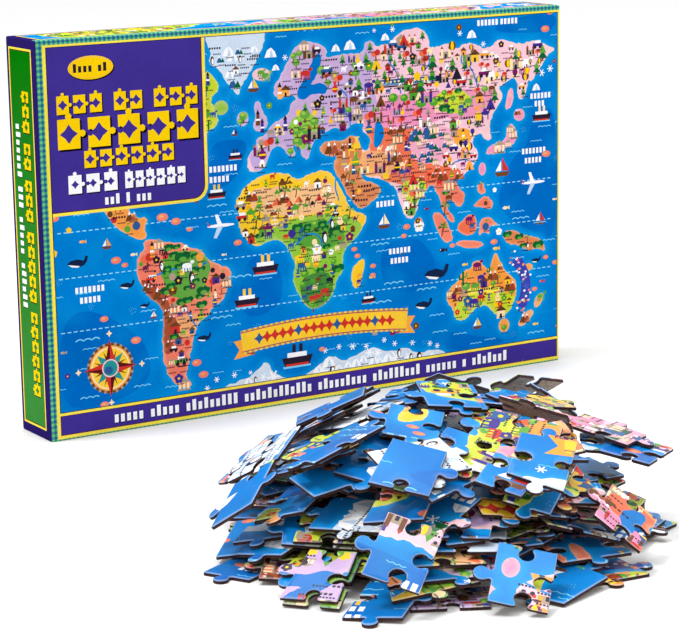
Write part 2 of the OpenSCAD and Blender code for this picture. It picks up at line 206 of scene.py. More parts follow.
# each shape has a colour, or "*" where a drawing takes an accent
ICONS = {
    "pine": [
        ("bark", slab(-0.06, -0.5, 0.06, -0.3)), ("fir", [(-0.34, -0.32), (0.34, -0.32), (0, 0.15)]),
        ("leaf", [(-0.26, -0.02), (0.26, -0.02), (0, 0.5)])],
    "tree": [
        ("bark", slab(-0.06, -0.5, 0.06, -0.1)), ("leaf", disc(0, 0.08, 0.4, 0.32)),
        ("moss", disc(-0.1, 0.16, 0.2, 0.13, 8))],
    "bush": [
        ("jungle", disc(-0.2, 0, 0.34, 0.28, 9)), ("fir", disc(0.22, 0.06, 0.3, 0.26, 9)),
        ("leaf", disc(0.02, -0.14, 0.26, 0.16, 8))],
    "palm": [
        ("bark", ribbon([(-0.08, -0.5), (0.0, -0.15), (0.04, 0.15)], 0.09)),
        ("fir", [(0.04, 0.15), (-0.42, 0.08), (-0.24, 0.3)]),
        ("leaf", [(0.04, 0.15), (0.46, 0.04), (0.3, 0.3)]), ("fir", [(0.04, 0.15), (0.3, 0.5), (0.06, 0.4)]),
        ("leaf", [(0.04, 0.15), (-0.02, 0.44), (-0.26, 0.48)])],
    "peak": [
        ("slate", [(-0.5, -0.35), (0.2, -0.35), (-0.15, 0.4)]),
        ("fir", [(-0.05, -0.35), (0.5, -0.35), (0.25, 0.15)]),
        ("snow", [(-0.27, 0.14), (-0.15, 0.4), (-0.03, 0.14), (-0.11, 0.2), (-0.18, 0.1)])],
    "crag": [
        ("bark", [(-0.5, -0.35), (0.15, -0.35), (-0.18, 0.35)]),
        ("rust", [(-0.1, -0.35), (0.5, -0.35), (0.2, 0.3)]),
        ("snow", [(-0.29, 0.12), (-0.18, 0.35), (-0.08, 0.14), (-0.19, 0.06)]),
        ("snow", [(0.1, 0.08), (0.2, 0.3), (0.31, 0.08), (0.2, 0.14)])],
    "hut": [
        ("*", slab(-0.3, -0.4, 0.3, 0.05)), ("bark", [(-0.42, 0.05), (0.42, 0.05), (0, 0.42)]),
        ("night", slab(-0.08, -0.4, 0.08, -0.12))],
    "temple": [
        ("stone", slab(-0.45, -0.4, 0.45, -0.3)), ("cream", slab(-0.36, -0.3, -0.2, 0.1)),
        ("cream", slab(-0.08, -0.3, 0.08, 0.1)), ("cream", slab(0.2, -0.3, 0.36, 0.1)),
        ("stone", [(-0.45, 0.1), (0.45, 0.1), (0, 0.4)])],
    "tower": [
        ("*", [(-0.16, -0.5), (0.16, -0.5), (0.1, 0.2), (-0.1, 0.2)]),
        ("night", [(-0.15, 0.2), (0.15, 0.2), (0, 0.5)]), ("snow", slab(-0.14, -0.2, 0.14, -0.08))],
    "dome": [
        ("cream", slab(-0.3, -0.45, 0.3, -0.08)), ("*", disc(0, -0.06, 0.25, 0.28, 10)),
        ("gold", slab(-0.03, 0.18, 0.03, 0.42)), ("night", slab(-0.08, -0.45, 0.08, -0.2))],
    "pyramid": [
        ("ember", [(-0.5, -0.3), (0.5, -0.3), (0, 0.35)]), ("rust", [(0.1, -0.3), (0.5, -0.3), (0, 0.35)])],
    "tent": [
        ("*", [(-0.38, -0.35), (0.38, -0.35), (0, 0.4)]),
        ("night", [(-0.1, -0.35), (0.1, -0.35), (0, -0.05)])],
    "berg": [
        ("snow", [(-0.48, -0.3), (0.48, -0.3), (0.34, 0.08), (0.05, 0.36), (-0.25, 0.2)]),
        ("frost", [(-0.08, -0.3), (0.22, -0.3), (0.05, 0.3)])],
    "beast": [
        ("*", disc(0, 0.02, 0.34, 0.17, 10)), ("*", slab(-0.3, -0.36, -0.2, 0)),
        ("*", slab(-0.12, -0.36, -0.03, 0)), ("*", slab(0.08, -0.36, 0.17, 0)),
        ("*", slab(0.22, -0.36, 0.31, 0.05)), ("*", disc(0.36, 0.22, 0.14, 0.11, 8))],
    "bird": [
        ("night", disc(0, 0, 0.2, 0.4, 10)), ("snow", disc(0.04, -0.06, 0.12, 0.28, 8)),
        ("amber", [(0.12, 0.28), (0.36, 0.2), (0.14, 0.16)])],
    "castle": [
        ("stone", slab(-0.3, -0.4, 0.3, 0.05)), ("*", slab(-0.45, -0.4, -0.22, 0.25)),
        ("*", slab(0.22, -0.4, 0.45, 0.25)), ("rust", [(-0.48, 0.25), (-0.19, 0.25), (-0.34, 0.5)]),
        ("rust", [(0.19, 0.25), (0.48, 0.25), (0.34, 0.5)]), ("night", slab(-0.09, -0.4, 0.09, -0.12))],
    "cactus": [
        ("fir", slab(-0.08, -0.5, 0.08, 0.45)), ("fir", slab(-0.34, -0.1, -0.08, 0.02)),
        ("fir", slab(-0.34, 0.02, -0.22, 0.25)), ("leaf", slab(0.08, 0.02, 0.34, 0.14)),
        ("leaf", slab(0.22, 0.14, 0.34, 0.36))],
    "camel": [
        ("*", disc(0, 0, 0.32, 0.14, 10)), ("*", disc(-0.04, 0.16, 0.14, 0.14, 8)),
        ("*", slab(-0.28, -0.42, -0.2, 0)), ("*", slab(0.16, -0.42, 0.24, 0)),
        ("*", [(0.2, 0), (0.3, -0.02), (0.44, 0.3), (0.34, 0.34)]), ("*", slab(0.34, 0.26, 0.52, 0.36))],
    "cart": [
        ("*", slab(-0.42, -0.14, 0.42, 0.08)), ("snow", slab(-0.2, 0.08, 0.26, 0.28)),
        ("night", disc(-0.22, -0.18, 0.13, 0.13, 8)), ("night", disc(0.22, -0.18, 0.13, 0.13, 8))],
    "vase": [
        ("*", disc(0, -0.14, 0.26, 0.26, 10)), ("*", slab(-0.1, 0.08, 0.1, 0.34)),
        ("gold", slab(-0.24, -0.18, 0.24, -0.08)), ("*", slab(-0.18, 0.34, 0.18, 0.42))],
    "maple": [
        ("bark", slab(-0.06, -0.5, 0.06, -0.1)), ("ember", disc(-0.14, 0.04, 0.26, 0.22, 9)),
        ("brick", disc(0.14, 0.14, 0.26, 0.24, 9))],
    "train": [
        ("night", slab(-0.5, -0.055, 0.5, -0.035)), ("slate", slab(-0.5, -0.03, 0.38, 0.045)),
        ("navy", [(0.39, -0.03), (0.5, -0.03), (0.47, 0.045), (0.39, 0.045)]),
        *(("cream", slab(-0.48 + 0.06 * k, 0, -0.45 + 0.06 * k, 0.025)) for k in range(14)),
        ("foam", slab(-0.5, -0.018, 0.38, -0.008))],
    "whale": [
        ("navy", [(-0.5, 0), (-0.35, 0.12), (0, 0.17), (0.28, 0.08), (0.38, 0.3), (0.5, 0.26), (0.44, 0.04),
                  (0.3, -0.12), (0, -0.2), (-0.35, -0.15)]),
        ("snow", [(-0.46, -0.04), (-0.3, -0.15), (0, -0.2), (0.1, -0.14)])],
    "fish": [
        ("*", disc(0, 0, 0.3, 0.16, 10)), ("*", [(0.22, 0), (0.5, 0.2), (0.5, -0.2)]),
        ("snow", disc(-0.16, 0.04, 0.05, 0.05, 6))],
    "ship": [
        ("foam", slab(-0.46, -0.3, 0.42, -0.24)),
        ("night", [(-0.5, 0), (0.5, 0.02), (0.38, -0.25), (-0.4, -0.25)]),
        ("brick", slab(-0.38, -0.25, 0.36, -0.18)), ("snow", slab(-0.32, 0, 0.3, 0.13)),
        ("*", slab(-0.16, 0.13, -0.05, 0.36)), ("*", slab(0.06, 0.13, 0.17, 0.36))],
    "sail": [
        ("bark", [(-0.42, -0.15), (0.42, -0.15), (0.26, -0.34), (-0.28, -0.34)]),
        ("*", [(0.0, -0.1), (0.0, 0.5), (0.36, -0.1)]),
        ("snow", [(-0.06, -0.1), (-0.06, 0.36), (-0.36, -0.1)])],
    "plane": [
        ("snow", disc(0, 0, 0.5, 0.055, 12)),
        ("snow", [(0.05, 0.03), (-0.1, 0.36), (-0.2, 0.36), (-0.12, 0.03)]),
        ("frost", [(0.08, -0.03), (-0.16, -0.4), (-0.27, -0.38), (-0.12, -0.03)]),
        ("brick", [(-0.38, 0.03), (-0.5, 0.16), (-0.42, -0.02)])],
    "balloon": [
        ("*", disc(0, 0.14, 0.32, 0.34)), ("gold", disc(0, 0.14, 0.14, 0.34, 10)),
        ("bark", slab(-0.09, -0.48, 0.09, -0.32))],
    "bloom": [
        *(("*", disc(0.2 * math.sin(a), 0.2 * math.cos(a), 0.17, count=7))
          for a in (0, 1.26, 2.51, 3.77, 5.03)),
        ("gold", disc(0, 0, 0.1, 0.1, 6))],
    "fruit": [("*", disc(0, -0.05, 0.26, 0.26, 9)), ("leaf", [(0, 0.2), (0.24, 0.38), (0.02, 0.4)])],
    "marks": [("night", slab(-0.5 + 0.2 * k, -0.07, -0.36 + 0.2 * k, 0.07)) for k in range(5)],
    "flake": [
        ("snow", ribbon([(-0.42 * c, -0.42 * s), (0.42 * c, 0.42 * s)], 0.11))
        for c, s in ((1, 0), (0.5, 0.87), (0.5, -0.87))],
    "wave": [("foam", ribbon(WAVE, 0.05))],
    "isle": [("coral", disc(0, 0, 0.5, 0.32, 9)), ("tan", disc(-0.08, 0.06, 0.24, 0.14, 7))],
    "spray": [("foam", disc(x, y, 0.035, 0.035, 5)) for x, y in SPRAY],
}

Shape = namedtuple("Shape", "colour outline inside")


class Drawing:
    """Filled outlines in painter's order. A shape shows only where those that it is inside are too."""

    OFF_THE_SHEET = 9999

    def __init__(self):
        self.shapes = []

    def add(self, colour, outline, *inside):
        """Puts a shape on top, and gives its number, for others to be inside."""
        self.shapes.append(Shape(colour, anticlockwise(outline), frozenset(inside)))
        return len(self.shapes) - 1

    def add_icon(self, icon, accent, x, y, size, *inside):
        """One of the small drawings, put down at a place."""
        for colour, outline in ICONS[icon]:
            self.add(accent if colour == "*" else colour, np.array(outline) * size + (x, y), *inside)

    def clear(self, low, high):
        """Moves the shapes that lie wholly within a rectangle out of the way, because it will be covered."""
        for k, shape in enumerate(self.shapes):
            if (shape.outline.min(0) > low).all() and (shape.outline.max(0) < high).all():
                self.shapes[k] = shape._replace(outline=shape.outline - self.OFF_THE_SHEET)


# ---------------------------------------------------------------- the map

# home is the land that a patch of colour is part of, and icons are the small drawings that lie on it
Land = namedtuple("Land", "colour icons outline home", defaults=[None])
LANDS = {
    "greenland": Land("ice", "berg peak hut bird marks", [
        (97, 212), (98, 203), (101, 196), (99, 191), (105, 188), (109, 181), (114, 175), (117, 172.5),
        (119, 179), (124, 184), (129, 191), (132, 197), (134, 205), (131, 215), (122, 220), (106, 218)]),
    "north_america": Land("lime", "pine tree beast hut tower marks bloom maple cart castle bush cactus", [
        (8, 186), (14, 196), (28, 199), (44, 197), (58, 201), (72, 198), (84, 194), (87, 186), (79, 178),
        (82, 170), (88, 167), (92, 177), (97, 188), (102, 184), (106, 177), (99, 172), (103, 165), (105, 159),
        (97, 155), (88, 150), (82, 142), (79, 134), (77, 126), (72, 122), (70, 130), (62, 132), (54, 130),
        (48, 123), (51, 114), (61, 113), (58, 107), (60, 102), (55, 101), (48, 105), (41, 110), (34, 120),
        (27, 130), (20, 142), (14, 156), (15, 170), (9, 176)]),
    "isthmus": Land("orange", "crag pyramid camel fruit marks", [
        (24, 136), (48, 124), (62, 118), (66, 108), (62, 98), (50, 100), (36, 110),
        (26, 124)], "north_america"),
    "newfoundland": Land("moss", "pine", disc(106, 167, 4.5, 4, 10)),
    "south_america": Land("coral", "bloom fruit marks hut beast tower bush temple cart vase maple", [
        (57, 100.5), (63, 101), (70, 99), (80, 97), (85, 94), (91, 92.5), (95, 87), (101, 83.5), (108, 81),
        (110, 77.5), (107.5, 72), (106, 66), (102, 62), (97, 60), (95, 56), (89, 53.5), (87, 48), (85, 44),
        (83.5, 36), (81.5, 29), (80, 24), (84, 20), (82, 18), (76, 19), (71, 24), (68, 31), (66.5, 38),
        (67, 46), (67.5, 54), (68, 61), (65, 66), (59, 70), (56, 76), (53, 82), (53, 88), (54, 93),
        (58, 96)]),
    "africa": Land("sun", "palm camel hut marks fruit vase cart beast", [
        (113, 115), (116, 119.5), (120, 124), (125, 127), (132, 129), (141, 129), (147, 128), (150, 125),
        (155, 124.5), (160, 127), (167, 128), (173, 127), (177, 122), (181, 115), (184, 108), (188, 103),
        (196, 101), (196, 97), (192, 91), (187, 86.5), (182, 83), (180, 77), (181, 71), (176, 66.5),
        (174, 59), (170, 54), (165, 51.5), (160, 51.5), (156, 54), (152, 60), (149, 66), (148, 71), (150, 77),
        (148, 82), (145.5, 87), (142, 91), (138, 93), (132, 92), (126, 90), (121, 93), (116.5, 98),
        (115, 104), (115.5, 110)]),
    "madagascar": Land("sun", "beast", [
        (187, 60), (185.5, 66), (187, 72), (192, 76), (195, 75.5), (193.5, 67), (191, 60)]),
    "eurasia": Land("blush", "pine hut beast dome tent marks castle bloom pine cart maple balloon", [
        (121, 132), (121.5, 140), (127, 144), (127, 149), (133, 150), (136, 155), (143, 158), (148, 161),
        (149, 166), (153, 168), (150, 171), (144, 169), (138, 171), (139, 177), (144, 182), (148, 190),
        (152, 196), (160, 199), (168, 197), (173, 193), (171, 189), (178, 190), (188, 190), (195, 190),
        (197, 196), (201, 197), (204, 193), (212, 194), (218, 199), (227, 202), (235, 201), (239, 196),
        (239, 190), (246, 191), (253, 192), (258, 188), (265, 192), (271, 190), (276, 187.5), (282, 188),
        (286, 192), (293, 191), (301, 188), (308, 190), (315, 189), (322, 186), (327, 184), (322, 181.5),
        (319, 178), (315, 173), (310, 166), (307, 168), (306, 161), (303, 156), (299.5, 159), (300, 166),
        (297, 170), (291, 167), (286, 165), (290, 160), (286, 154), (281, 148), (280, 141), (282, 136),
        (278, 134.5), (274, 140), (269, 138), (268, 134), (272, 130), (272, 125), (267, 120), (261, 116),
        (257, 114), (258, 110.5), (263, 106), (262, 101), (259, 98), (255, 102), (251, 104), (250, 99),
        (255, 94), (256, 90), (252, 91), (247, 98), (246, 104), (243, 109), (241, 114), (236, 110),
        (231, 105), (229, 97), (225, 94.5), (221, 99), (218, 107), (216, 114), (210, 118), (202, 121),
        (197, 121.5), (192, 126), (195, 119.5), (203, 117.5), (207, 113.5), (203, 109), (197, 105.5),
        (192, 103.5), (187, 109), (181, 119), (177, 125), (175, 131), (178, 135.5), (172, 135), (167, 138),
        (167, 142), (174, 144), (182, 143), (187, 146), (192, 143), (194, 137), (198, 136), (200, 142),
        (198, 145), (194, 147.5), (196, 151), (191, 153), (184, 149), (176, 151), (169, 148), (164, 146),
        (161, 140), (159, 134), (155, 137), (154, 143), (149, 143), (152, 138), (148, 137), (144, 142),
        (140, 144), (136, 142), (134, 137), (132, 133), (127, 130.5)]),
    "europe": Land("lilac", "hut tower tree dome marks beast bloom castle vase cart temple pine maple", [
        (115, 128), (115, 205), (204, 205), (203, 182), (199, 171), (205, 164), (203, 158), (196, 156),
        (188, 150), (168, 144), (160, 131)], "eurasia"),
    "sunny_europe": Land("moss", "fruit bloom tree", [
        (146, 152), (150, 158), (158, 161), (166, 157), (166, 149), (158, 150), (160, 145), (156, 139),
        (152, 146)], "eurasia"),
    "steppe": Land("rose", "tree hut marks tent maple castle camel vase", [
        (195, 156), (203, 158), (209, 161), (213, 166), (252, 166), (284, 165), (284, 150), (262, 148),
        (240, 150), (230, 148), (215, 148), (203, 149), (196, 147), (190, 152)], "eurasia"),
    "grassland": Land("lime", "bush tree beast", [
        (240, 160), (246, 165), (262, 165), (268, 160), (266, 154), (257, 152), (247, 154)], "eurasia"),
    "central_asia": Land("ember", "crag tower tent marks temple vase camel maple", [
        (199, 136), (196, 147), (206, 149), (216, 146), (226, 146), (236, 148), (227, 142), (225, 135),
        (234, 128), (247, 124), (262, 120), (262, 112), (240, 110), (222, 115), (206, 118), (206, 126),
        (202, 134)], "eurasia"),
    "plateau": Land("tan", "crag tower beast marks vase castle camel", [
        (190, 130), (195, 137), (205, 135), (218, 134), (222, 128), (214, 121), (203, 121),
        (194, 123)], "eurasia"),
    "desert_coast": Land("clay", "crag dome palm tower camel marks vase castle", [
        (163, 134), (163, 147), (192, 149), (195, 137), (190, 128), (200, 119), (210, 118), (208, 106),
        (190, 100), (172, 126)], "eurasia"),
    "dunes": Land("amber", "dome tower", [
        (255, 142), (262, 144), (268, 141), (268, 136), (260, 133), (255, 136)], "eurasia"),
    "ranges": Land("pink", "peak peak marks peak temple", [
        (226, 142), (232, 146), (252, 146), (256, 138), (250, 131), (246, 124), (232, 126),
        (226, 132)], "eurasia"),
    "south_asia": Land("lime", "bloom dome fruit beast temple maple", [
        (217, 116), (236, 118), (236, 106), (228, 104), (222, 106)], "eurasia"),
    "indochina": Land("coral", "palm temple fruit bush vase beast", [
        (240, 104), (242, 116), (254, 116), (266, 112), (268, 96), (250, 86), (242, 98)], "eurasia"),
    "rainforest": Land("leaf", "bush bush fruit bush beast bird bloom", [
        (66, 84), (68, 91), (75, 93), (84, 93), (92, 90), (97, 86), (96, 77), (92, 69), (84, 65), (76, 67),
        (70, 73)], "south_america"),
    "andes": Land("rust", "crag", [
        (54, 80), (60, 79), (68, 71), (73, 62), (73, 50), (72, 38), (68, 38), (66, 50), (66, 62),
        (58, 70)], "south_america"),
    "pampas": Land("tan", "beast hut tree cart marks cactus", [
        (76, 58), (92, 58), (88, 47), (83, 45), (74, 47), (74, 53)], "south_america"),
    "desert": Land("sand", "pyramid palm camel marks tent vase camel crag", [
        (121, 118), (128, 123), (140, 121), (152, 120), (164, 121), (176, 120), (178, 112), (170, 106),
        (152, 104), (138, 106), (124, 110)], "africa"),
    "savanna": Land("moss", "tree beast hut bush marks beast bloom vase fruit", [
        (142, 100), (152, 104), (166, 104), (178, 102), (190, 99), (194, 92), (184, 82), (186, 66), (168, 48),
        (150, 50), (144, 70), (146, 84), (140, 94), (128, 90), (122, 97)], "africa"),
    "congo": Land("leaf", "bush bush tree fruit beast bird", [
        (147, 98), (156, 101), (168, 101), (182, 96), (182, 86), (170, 84), (160, 86), (150, 88)], "africa"),
    "southern_tip": Land("end_low", "tree beast", [
        (152, 68), (162, 72), (174, 70), (174, 58), (164, 50), (154, 56)], "africa"),
    "inner_sea": Land("sea", "", [
        (152, 170), (157, 178), (161, 184), (164, 191), (169, 192), (168, 184), (164, 178), (161, 175),
        (168, 176), (173, 173), (171, 169.5), (162, 170), (157, 167)], "eurasia"),
    "salt_lake": Land("sea", "", [
        (201.5, 137), (206, 138), (209, 144), (207, 151), (203, 152.5), (202, 146)], "eurasia"),
    "britain": Land("lilac", "tower", [
        (125, 153), (133, 153), (135, 158), (131, 163), (130, 169), (126, 168), (127, 161)]),
    "ireland": Land("lilac", "tree", disc(119, 160, 3.6, 4, 10)),
    "iceland": Land("blush", "beast", disc(131, 183, 5.6, 3.4, 12)),
    "sumatra": Land("coral", "palm fruit", [
        (240, 97), (246, 97), (253, 87), (255, 80), (249, 78.5), (243, 88)]),
    "java": Land("coral", "fruit", [(256, 79), (266, 79), (277, 76), (272, 73.5), (258, 75.5)]),
    "borneo": Land("ember", "palm beast", [
        (257, 87), (260, 83), (266, 81), (271, 84), (271, 91), (267, 94.5), (261, 91)]),
    "celebes": Land("coral", "fruit", [
        (272, 80), (273, 90), (280, 91), (287, 85), (279, 86), (280, 80), (276, 83)]),
    "luzon": Land("coral", "palm", [(271, 110), (275, 112), (278, 105), (273, 104)]),
    "mindanao": Land("coral", "fruit", [(268, 98), (272, 101), (278, 104), (283, 99), (281, 95), (275, 97)]),
    "new_guinea": Land("clay", "bush palm bird", [
        (288, 80), (296, 82), (303, 78), (310, 76.5), (318, 73), (320, 66), (314, 69), (305, 68.5), (300, 73),
        (293, 73)]),
    "japan": Land("rose", "temple bloom", [
        (277, 127), (285, 126.5), (292, 130), (299, 132.5), (299, 140), (295, 144), (292, 140), (292, 135),
        (285, 133), (279, 131)]),
    "hokkaido": Land("rose", "crag", disc(301, 148, 4, 3.6, 10)),
    "sakhalin": Land("rose", "pine", [(291, 151), (292, 158), (294, 164), (297, 163), (296, 153)]),
    "formosa": Land("rose", "tower", disc(275, 119, 2.6, 3.8, 10)),
    "ceylon": Land("coral", "bloom", disc(231, 92, 3, 3.6, 10)),
    "australia": Land("orange", "beast crag hut tree cactus marks temple", [
        (250, 48), (252, 53), (257, 55), (262, 62), (267, 62), (268, 66), (274, 66), (276, 62), (280, 60),
        (282, 67), (284.5, 70), (287, 65), (290, 59), (296, 54), (299, 50), (299, 44), (297, 38), (292, 32.5),
        (286, 32), (281, 36), (277, 40), (270, 39), (266, 35), (261, 32), (255, 34), (254.5, 40), (250, 44)]),
    "outback": Land("lemon", "marks", [(262, 46), (264, 50.5), (286, 50.5), (288, 46)], "australia"),
    "wheatbelt": Land("lime", "tree beast tree bloom hut vase", [
        (254, 38), (258, 46), (272, 47), (296, 46), (300, 34), (286, 28), (258, 28)], "australia"),
    "tasmania": Land("orange", "tree", disc(290, 26, 4, 4.2, 10)),
    "new_zealand": Land("tan", "beast", [(311, 34.5), (313, 41), (318.5, 42.5), (317.5, 37), (314, 33.5)]),
    "zealand_south": Land("tan", "crag", [
        (299.5, 25), (303, 29.5), (309, 34), (312, 31), (308, 27), (303, 23.5)]),
    "coral_sea_isle": Land("orange", "fruit", disc(307.5, 58.5, 3.2, 2.2, 10)),
    "antarctica": Land("ice", "berg bird berg flake", [
        (-2, -16), (-2, 6), (40, 9), (80, 8), (100, 14), (114, 17), (124, 21), (130, 27), (134, 19),
        (148, 13), (158, 16), (166, 21), (173, 24), (180, 19), (188, 22), (200, 25), (208, 21), (222, 22),
        (230, 17), (244, 18), (256, 11), (300, 9), (334, 6), (334, -16)]),
}
SEA_ICONS = {  # x, y and size
    "ship": [
        (102, 122, 12), (114, 141, 9), (119, 62, 16), (131, 79, 17), (150, 26, 20), (197, 53, 10),
        (317, 147, 14), (30, 214, 14), (296, 216, 15)],
    "sail": [
        (126, 177, 9), (114, 153, 5), (208, 95, 10), (289, 118, 13), (271, 29, 8), (36, 101, 7), (62, 60, 5),
        (316, 86, 9), (20, 140, 9), (150, 212, 10)],
    "plane": [(104, 104, 17), (311, 108, 17), (60, 212, 15)],
    "whale": [
        (243, 62, 17), (234, 45, 12), (19, 93, 12), (92, 44, 9), (57, 66, 6), (47, 78, 9), (313, 62, 7),
        (190, 214, 14)],
    "berg": [
        (137, 194, 8), (140, 186, 5), (178, 194, 6), (187, 195, 8), (210, 198, 6), (268, 196, 7),
        (313, 163, 6), (230, 216, 9)],
    "flake": [
        (110, 21, 4), (99, 20, 4), (93, 16, 4), (120, 21, 3), (186, 27, 5), (177, 28, 4), (168, 27, 4),
        (195, 26, 4), (207, 28, 4), (214, 25, 4), (226, 24, 4), (238, 22, 4), (243, 20, 4), (146, 191, 4),
        (260, 197, 4), (276, 190, 4), (317, 171, 5), (323, 173, 5), (215, 202, 4), (203, 202, 3)],
    "wave": [
        (35, 82, 10), (59, 63, 9), (23, 52, 14), (24, 47, 8), (23, 21, 11), (54, 23, 10), (72, 20, 9),
        (60, 37, 8), (103, 54, 13), (110, 49, 9), (115, 75, 14), (131, 72, 8), (108, 111, 9), (205, 83, 12),
        (207, 79, 9), (214, 60, 13), (205, 50, 14), (236, 54, 13), (243, 38, 10), (245, 28, 10), (259, 25, 9),
        (270, 18, 8), (280, 19, 8), (313, 19, 12), (318, 52, 9), (255, 72, 8), (300, 92, 9), (302, 88, 12),
        (316, 84, 9), (319, 140, 9), (313, 132, 8), (298, 127, 8), (307, 152, 7), (22, 118, 9),
        (102, 115, 12), (161, 205, 14), (290, 207, 16)],
    "fish": [
        (247, 75, 7), (105, 88, 4), (291, 95, 6), (284, 72, 6), (262, 65, 5), (317, 49, 5), (312, 24, 5),
        (199, 65, 5), (51, 94, 5)],
    "isle": [
        (41, 92, 6), (46, 89, 4), (69, 112, 7), (77, 109, 6), (85, 104, 4), (51, 48, 6), (87, 31, 6),
        (91, 24, 6), (188, 82, 4), (190, 78, 4), (223, 91, 5), (221, 86, 4), (254, 77, 4), (283, 76, 5),
        (320, 63, 4), (312, 45, 4), (200, 66, 4)],
}
SEA_ACCENTS = ("brick", "cream", "amber", "sun", "night")
SEA_DETAILS = ("wave", "wave", "spray", "spray", "fish", "isle", "wave", "bloom")
OCEAN_NAMES = [  # x, y and how many marks
    (17, 78.5, 7), (19.5, 73, 5), (98, 134.5, 7), (98, 129, 5), (211, 78, 6), (212, 72.5, 5), (303, 126.5, 7),
    (305, 121, 5), (272, 202, 6), (288, 202, 5), (309, 158, 6), (312, 153.5, 3), (203, 105.5, 5)
]
MARK, MARK_STEP = 1.6, 2.5
CURRENTS = [  # patches of deeper water
    [(6, 52), (14, 68), (30, 66), (46, 56), (58, 44), (60, 26), (40, 16), (6, 15)],
    [(98, 148), (112, 150), (122, 148), (118, 134), (108, 124), (98, 126)],
    [(120, 86), (136, 84), (142, 70), (140, 56), (122, 50), (112, 60)],
    [(205, 82), (226, 86), (240, 76), (244, 60), (226, 52), (206, 58)],
    [(280, 197), (292, 203), (327, 206), (327, 195), (308, 194)],
    [(288, 92), (286, 104), (296, 124), (306, 128), (309, 142), (316, 150), (328, 150), (328, 70), (312, 78)],
    [(242, 30), (262, 24), (300, 16), (250, 14), (236, 18)],
    [(4, 210), (40, 226), (110, 232), (60, 208)],
]
RIVERS = [  # width and course
    (0.9, [(177, 125), (176, 117), (179, 110), (175, 103), (171, 98)]),
    (0.9, [(150, 88), (157, 94), (165, 93), (168, 86), (162, 84)]),
    (1.0, [(95, 85), (86, 82), (76, 84), (66, 82), (60, 80)]),
    (0.8, [(88, 50), (84, 56), (80, 64)]),
    (0.9, [(186, 147), (187, 155), (182, 160), (186, 167), (180, 172)]),
    (0.9, [(213, 193), (212, 184), (218, 178), (220, 166)]),
    (0.9, [(238, 189), (240, 182), (236, 178)]),
    (0.9, [(262, 187), (260, 180), (268, 178), (272, 166)]),
    (0.8, [(271, 123), (262, 126), (254, 124)]),
    (0.9, [(66, 120), (62, 134), (64, 146), (58, 156)]),
]
PARALLELS = (109.5, 85.5, 57)
PARALLEL_ENDS = (8, 327)
REEF, REEF_WIDTH = [(298, 65), (303, 58), (306, 50), (305, 42), (302, 35)], 7
CORALS = ("coral", "snow", "amber", "pink", "teal", "snow", "slate") * 8
TRAIN = (226, 172.5, 44)  # x, y and size
COMPASS, COMPASS_RADIUS = (35.5, 35.0), 13.6
BANNER_ENDS = (115, 222.5)
BANNER_CREST, BANNER_SAG = (166, 41.2), 0.0011  # its highest place, and how it falls off to each side
TAIL_MIDDLE, TAIL_ROOT, TAIL_TIP = 169, 46, 59  # where the ribbon's tails are, to the left and to the right
SCATTER_WIDTH, SCATTER_LOW, SCATTER_HEIGHT = 330, -12, 250  # where small drawings are scattered
SHALLOWS = 4.5  # how far the paler water reaches from a shore
BEACH = 1.2  # how far the paler land reaches from a shore

lands = {name: land._replace(outline=anticlockwise(rough(smooth(land.outline, 1))))
         for name, land in LANDS.items()}
shores = [land.outline for land in lands.values() if land.home is None]
shore_points = np.vstack([np.linspace(start, end, 4)[:3] for line in shores
                          for start, end in zip(line, np.roll(line, -1, 0))])
shore_tree = KDTree(len(shore_points))
for index, point in enumerate(shore_points):
    shore_tree.insert((*point, 0), index)
shore_tree.balance()
shaded = {"deep"} | {land.colour for land in lands.values()}


def to_shore(x, y):
    """The distance from a place to the nearest shore."""
    return shore_tree.find((x, y, 0))[2]


def inked(colour, x, y):
    """The colour of a place on the map. Water and land are both paler near a shore."""
    if colour not in shaded:
        return INK[colour]
    gap = to_shore(x, y)
    swell = 0.5 + 0.3 * math.sin(x / 19 + y / 31) + 0.2 * math.sin(y / 13 - x / 27)
    if colour not in ("sea", "deep"):
        return blend(INK[colour], INK["cream"], 0.3 * max(0.0, 1 - gap / BEACH) + 0.1 * swell)
    near = max(0.0, 1 - gap / SHALLOWS) ** 1.5
    glint = max(0.0, math.sin(x / 7 + 1.5 * math.sin(y / 11)) * math.sin(y / 8 - x / 23))
    open_water = blend(blend(INK[colour], INK["deep"], 0.7 * swell), INK["shallow"], 0.25 * glint)
    return blend(open_water, INK["shallow"], 0.7 * near)


def topmost(x, y):
    """The land or patch that shows at a place, or None at sea."""
    found = None
    on = set()
    for name, land in lands.items():
        if (land.home is None or land.home in on) and holds(land.outline, x, y):
            on.add(name)
            found = name
    return found


def loose_grid(draw, pitch, swing, squash=1.0):
    """Places on a staggered grid over the whole map, each moved a little at random."""
    for row in range(int(SCATTER_HEIGHT / pitch)):
        for column in range(int(SCATTER_WIDTH / pitch) + 1):
            x = (column + 0.5 * (row % 2) + draw.uniform(-swing, swing)) * pitch
            yield x, SCATTER_LOW + (row + draw.uniform(-swing, swing)) * pitch * squash


def land_details(pitch, margin):
    """Small drawings on land, clear of the shores: (drawing, accent, x, y, size)."""
    draw = random.Random(SEED)
    places = []
    for x, y in loose_grid(draw, pitch, 0.35, 0.86):
        choice, accent, size = draw.random(), draw.choice(ACCENTS), (0.9 + 0.9 * draw.random() ** 2) * pitch
        name = topmost(x, y)
        icons = lands[name].icons.split() if name else []
        if icons and to_shore(x, y) >= margin:
            places.append((icons[int(choice * len(icons))], accent, x, y, size))
            if draw.random() < 0.7:
                places.append(("marks", "night", x + 0.2 * pitch, y - 0.58 * pitch, 0.9 * pitch))
    return places


